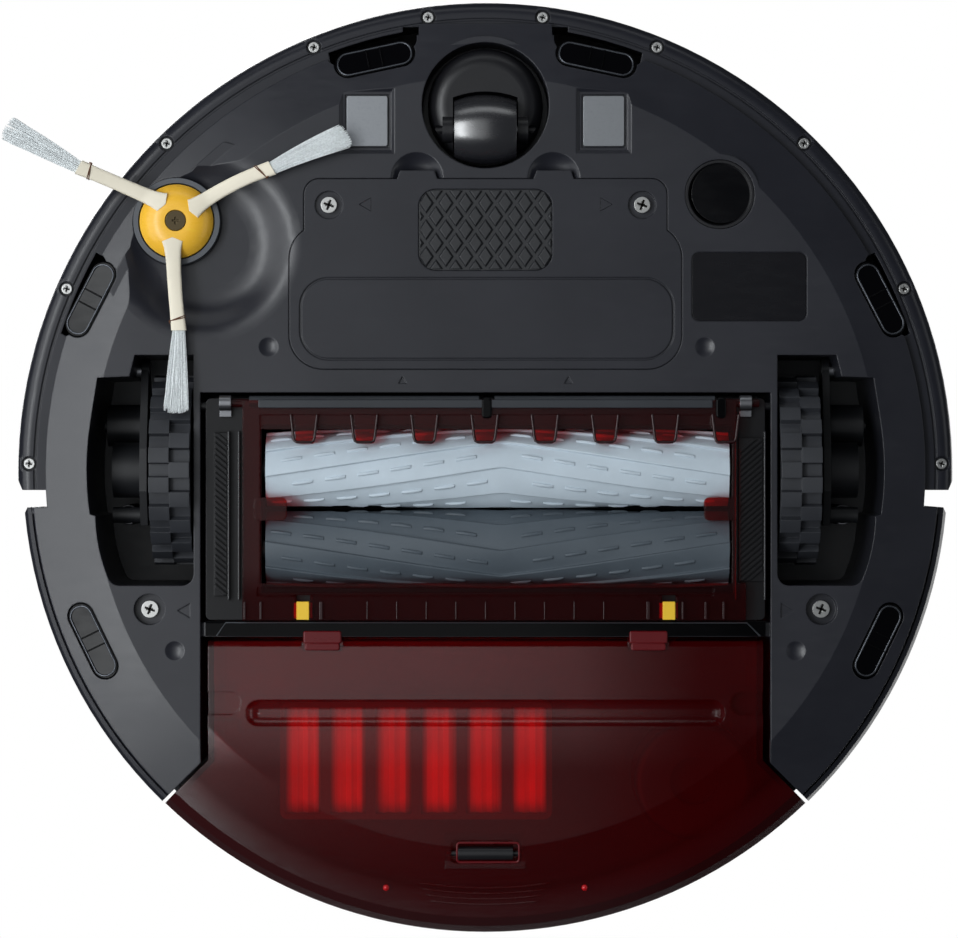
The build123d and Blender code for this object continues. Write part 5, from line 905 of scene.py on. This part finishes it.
def on_window(middle, turn, reach, side_step):
    """A point on a window's lower face, from its middle along its turned length and width."""
    along = Vector((math.cos(turn), math.sin(turn), 0))
    across = Vector((-math.sin(turn), math.cos(turn), 0))
    spot = middle + along * reach + across * side_step
    spot.z = WINDOW_Z + max(0, math.hypot(spot.x, spot.y) - WINDOW_BEND_R) * WINDOW_SLOPE
    return spot


for x, y, angle in CLIFF_SPOTS:
    for side in (-1, 1):
        turn = math.radians(angle) * side
        middle = Vector((x * side, y, 0)) * MM
        for reach in (-DIVIDER_X, DIVIDER_X):
            divider = [on_window(middle, turn, reach, step) for step in (-DIVIDER_HALF, DIVIDER_HALF)]
            tube(cells, divider, 0.32 * MM)
        outline = rounded_outline(-WINDOW_HALF, -WINDOW_SIDE, WINDOW_HALF, WINDOW_SIDE, WINDOW_SIDE * 0.95)
        loop = [on_window(middle, turn, reach, step) for reach, step in outline]
        tube(rims, loop + loop[:1], 0.34 * MM)
build("cliff_bars", cells, "lens_plastic", "chassis", smooth=60)
rim_finish = moulded("window_rim", srgb(84, 87, 93), 0.24, depth=0.002 * MM, metallic=0.7)
build("cliff_rims", rims, "lens_plastic", "chassis", smooth=60, material=rim_finish)

# ---------------------------------------------------------------- camera
camera_height = 1.4
reference_z = 15 * MM
view_width = PICTURE_WIDTH * PIXEL
camera_data = bpy.data.cameras.new("camera")
camera_data.sensor_width = 36
camera_data.lens = 36 * (camera_height + reference_z) / view_width
camera_data.clip_start, camera_data.clip_end = 0.05, 60
camera = bpy.data.objects.new("camera", camera_data)
camera.location = (-2.4 * MM, -0.4 * MM, -camera_height)
camera.rotation_euler = (math.pi, 0, 0)
bpy.context.scene.collection.objects.link(camera)
bpy.context.scene.camera = camera

# ---------------------------------------------------------------- floor, world and lights
FLOOR_LIT, FLOOR_DIM = 0.5, 3.2
floor_mesh = bmesh.new()
bmesh.ops.create_circle(floor_mesh, cap_ends=True, segments=96, radius=14)
floor_data = bpy.data.meshes.new("floor")
floor_mesh.to_mesh(floor_data)
floor_mesh.free()
floor = bpy.data.objects.new("floor", floor_data)
floor.location = (0, 0, -0.2 * MM)
bpy.context.scene.collection.objects.link(floor)
floor_finish = Finish("floor")
pale = floor_finish.blend(floor_finish.noise(0.3), srgb(226, 226, 227), srgb(232, 232, 232))
# The floor stays pale far from the lights.
length = floor_finish.add("ShaderNodeVectorMath", {0: floor_finish.place}, operation="LENGTH")
from_middle = length.outputs["Value"]
far_light = floor_finish.ramp(floor_finish.fade(from_middle, FLOOR_LIT, FLOOR_DIM), 0, 0.8, 0, 1)
inputs = {"Base Color": pale, "Roughness": 0.75, "Emission Color": pale, "Emission Strength": far_light}
floor_body = floor_finish.add("ShaderNodeBsdfPrincipled", inputs)
open_below = floor_finish.add("ShaderNodeBsdfTransparent", {})
facing = floor_finish.add("ShaderNodeNewGeometry", {}).outputs["Backfacing"]
shaders = {0: facing, 1: floor_body.outputs["BSDF"], 2: open_below.outputs["BSDF"]}
floor_mix = floor_finish.add("ShaderNodeMixShader", shaders)
floor_data.materials.append(floor_finish.show(floor_mix.outputs["Shader"]))
floor.visible_shadow = False
floor.visible_diffuse = False
floor.visible_glossy = False
floor.visible_transmission = False

world = bpy.data.worlds.new("studio")
bpy.context.scene.world = world
world.use_nodes = True
tree = world.node_tree
tree.nodes.clear()
backdrop = tree.nodes.new("ShaderNodeBackground")
backdrop.inputs["Color"].default_value = (1, 1, 1, 1)
backdrop.inputs["Strength"].default_value = 1.0
ambient = tree.nodes.new("ShaderNodeBackground")
ambient.inputs["Color"].default_value = (0.86, 0.92, 1.0, 1)
ambient.inputs["Strength"].default_value = 0.065
seen = tree.nodes.new("ShaderNodeLightPath").outputs["Is Camera Ray"]
both = tree.nodes.new("ShaderNodeMixShader")
tree.links.new(seen, both.inputs[0])
tree.links.new(ambient.outputs[0], both.inputs[1])
tree.links.new(backdrop.outputs[0], both.inputs[2])
tree.links.new(both.outputs[0], tree.nodes.new("ShaderNodeOutputWorld").inputs["Surface"])


def softbox(name, place, target, width, height, power, colour=(1, 1, 1)):
    """A rectangular soft light that faces its target and isn't seen itself."""
    data = bpy.data.lights.new(name, "AREA")
    data.shape = "RECTANGLE"
    data.size, data.size_y = width, height
    data.energy = power
    data.color = colour
    light = bpy.data.objects.new(name, data)
    light.location = place
    light.rotation_euler = (Vector(target) - Vector(place)).to_track_quat("-Z", "Y").to_euler()
    light.visible_camera = False
    bpy.context.scene.collection.objects.link(light)


def strip_below(name, start, end, half_along, strength, azimuth=180):
    """A softbox under the floor, seen from start to end degrees off the camera's axis on one side."""
    middle, reach = math.radians((start + end) / 2), math.radians((end - start) / 2)
    turn = math.radians(azimuth)
    flat = STRIP_DISTANCE * math.sin(middle)
    place = (flat * math.cos(turn), flat * math.sin(turn), -STRIP_DISTANCE * math.cos(middle))
    long_side = 2 * STRIP_DISTANCE * math.tan(math.radians(half_along))
    short_side = 2 * STRIP_DISTANCE * math.tan(reach)
    power = strength * math.pi * long_side * short_side
    softbox(name, place, (0, 0, 0), long_side, short_side, power, (0.95, 0.98, 1.0))


# One large softbox on the picture's left, brighter towards its far side, and dim ones further out.
STRIP_DISTANCE = 1.75
strip_below("key_near", -3, 16, 33, 0.7)
strip_below("key_middle", 16, 29, 30, 1.5)
strip_below("key_far", 29, 43, 25, 8.4)
strip_below("side_below", 50, 75, 30, 2.2)
strip_below("front_below", 60, 76, 30, 1.1, azimuth=-90)
strip_below("right_below", 60, 76, 30, 1.0, azimuth=0)
softbox("key_above", (-0.8, -0.9, 2.2), (0, 0, 0.05), 1.6, 1.6, 56)
softbox("fill_above", (1.3, 0.5, 1.9), (0, 0, 0.05), 1.6, 1.6, 20)
softbox("rim_above", (0.2, 1.3, 2.0), (0, 0, 0.05), 1.8, 0.9, 18)

bpy.context.scene.view_settings.view_transform = "Standard"
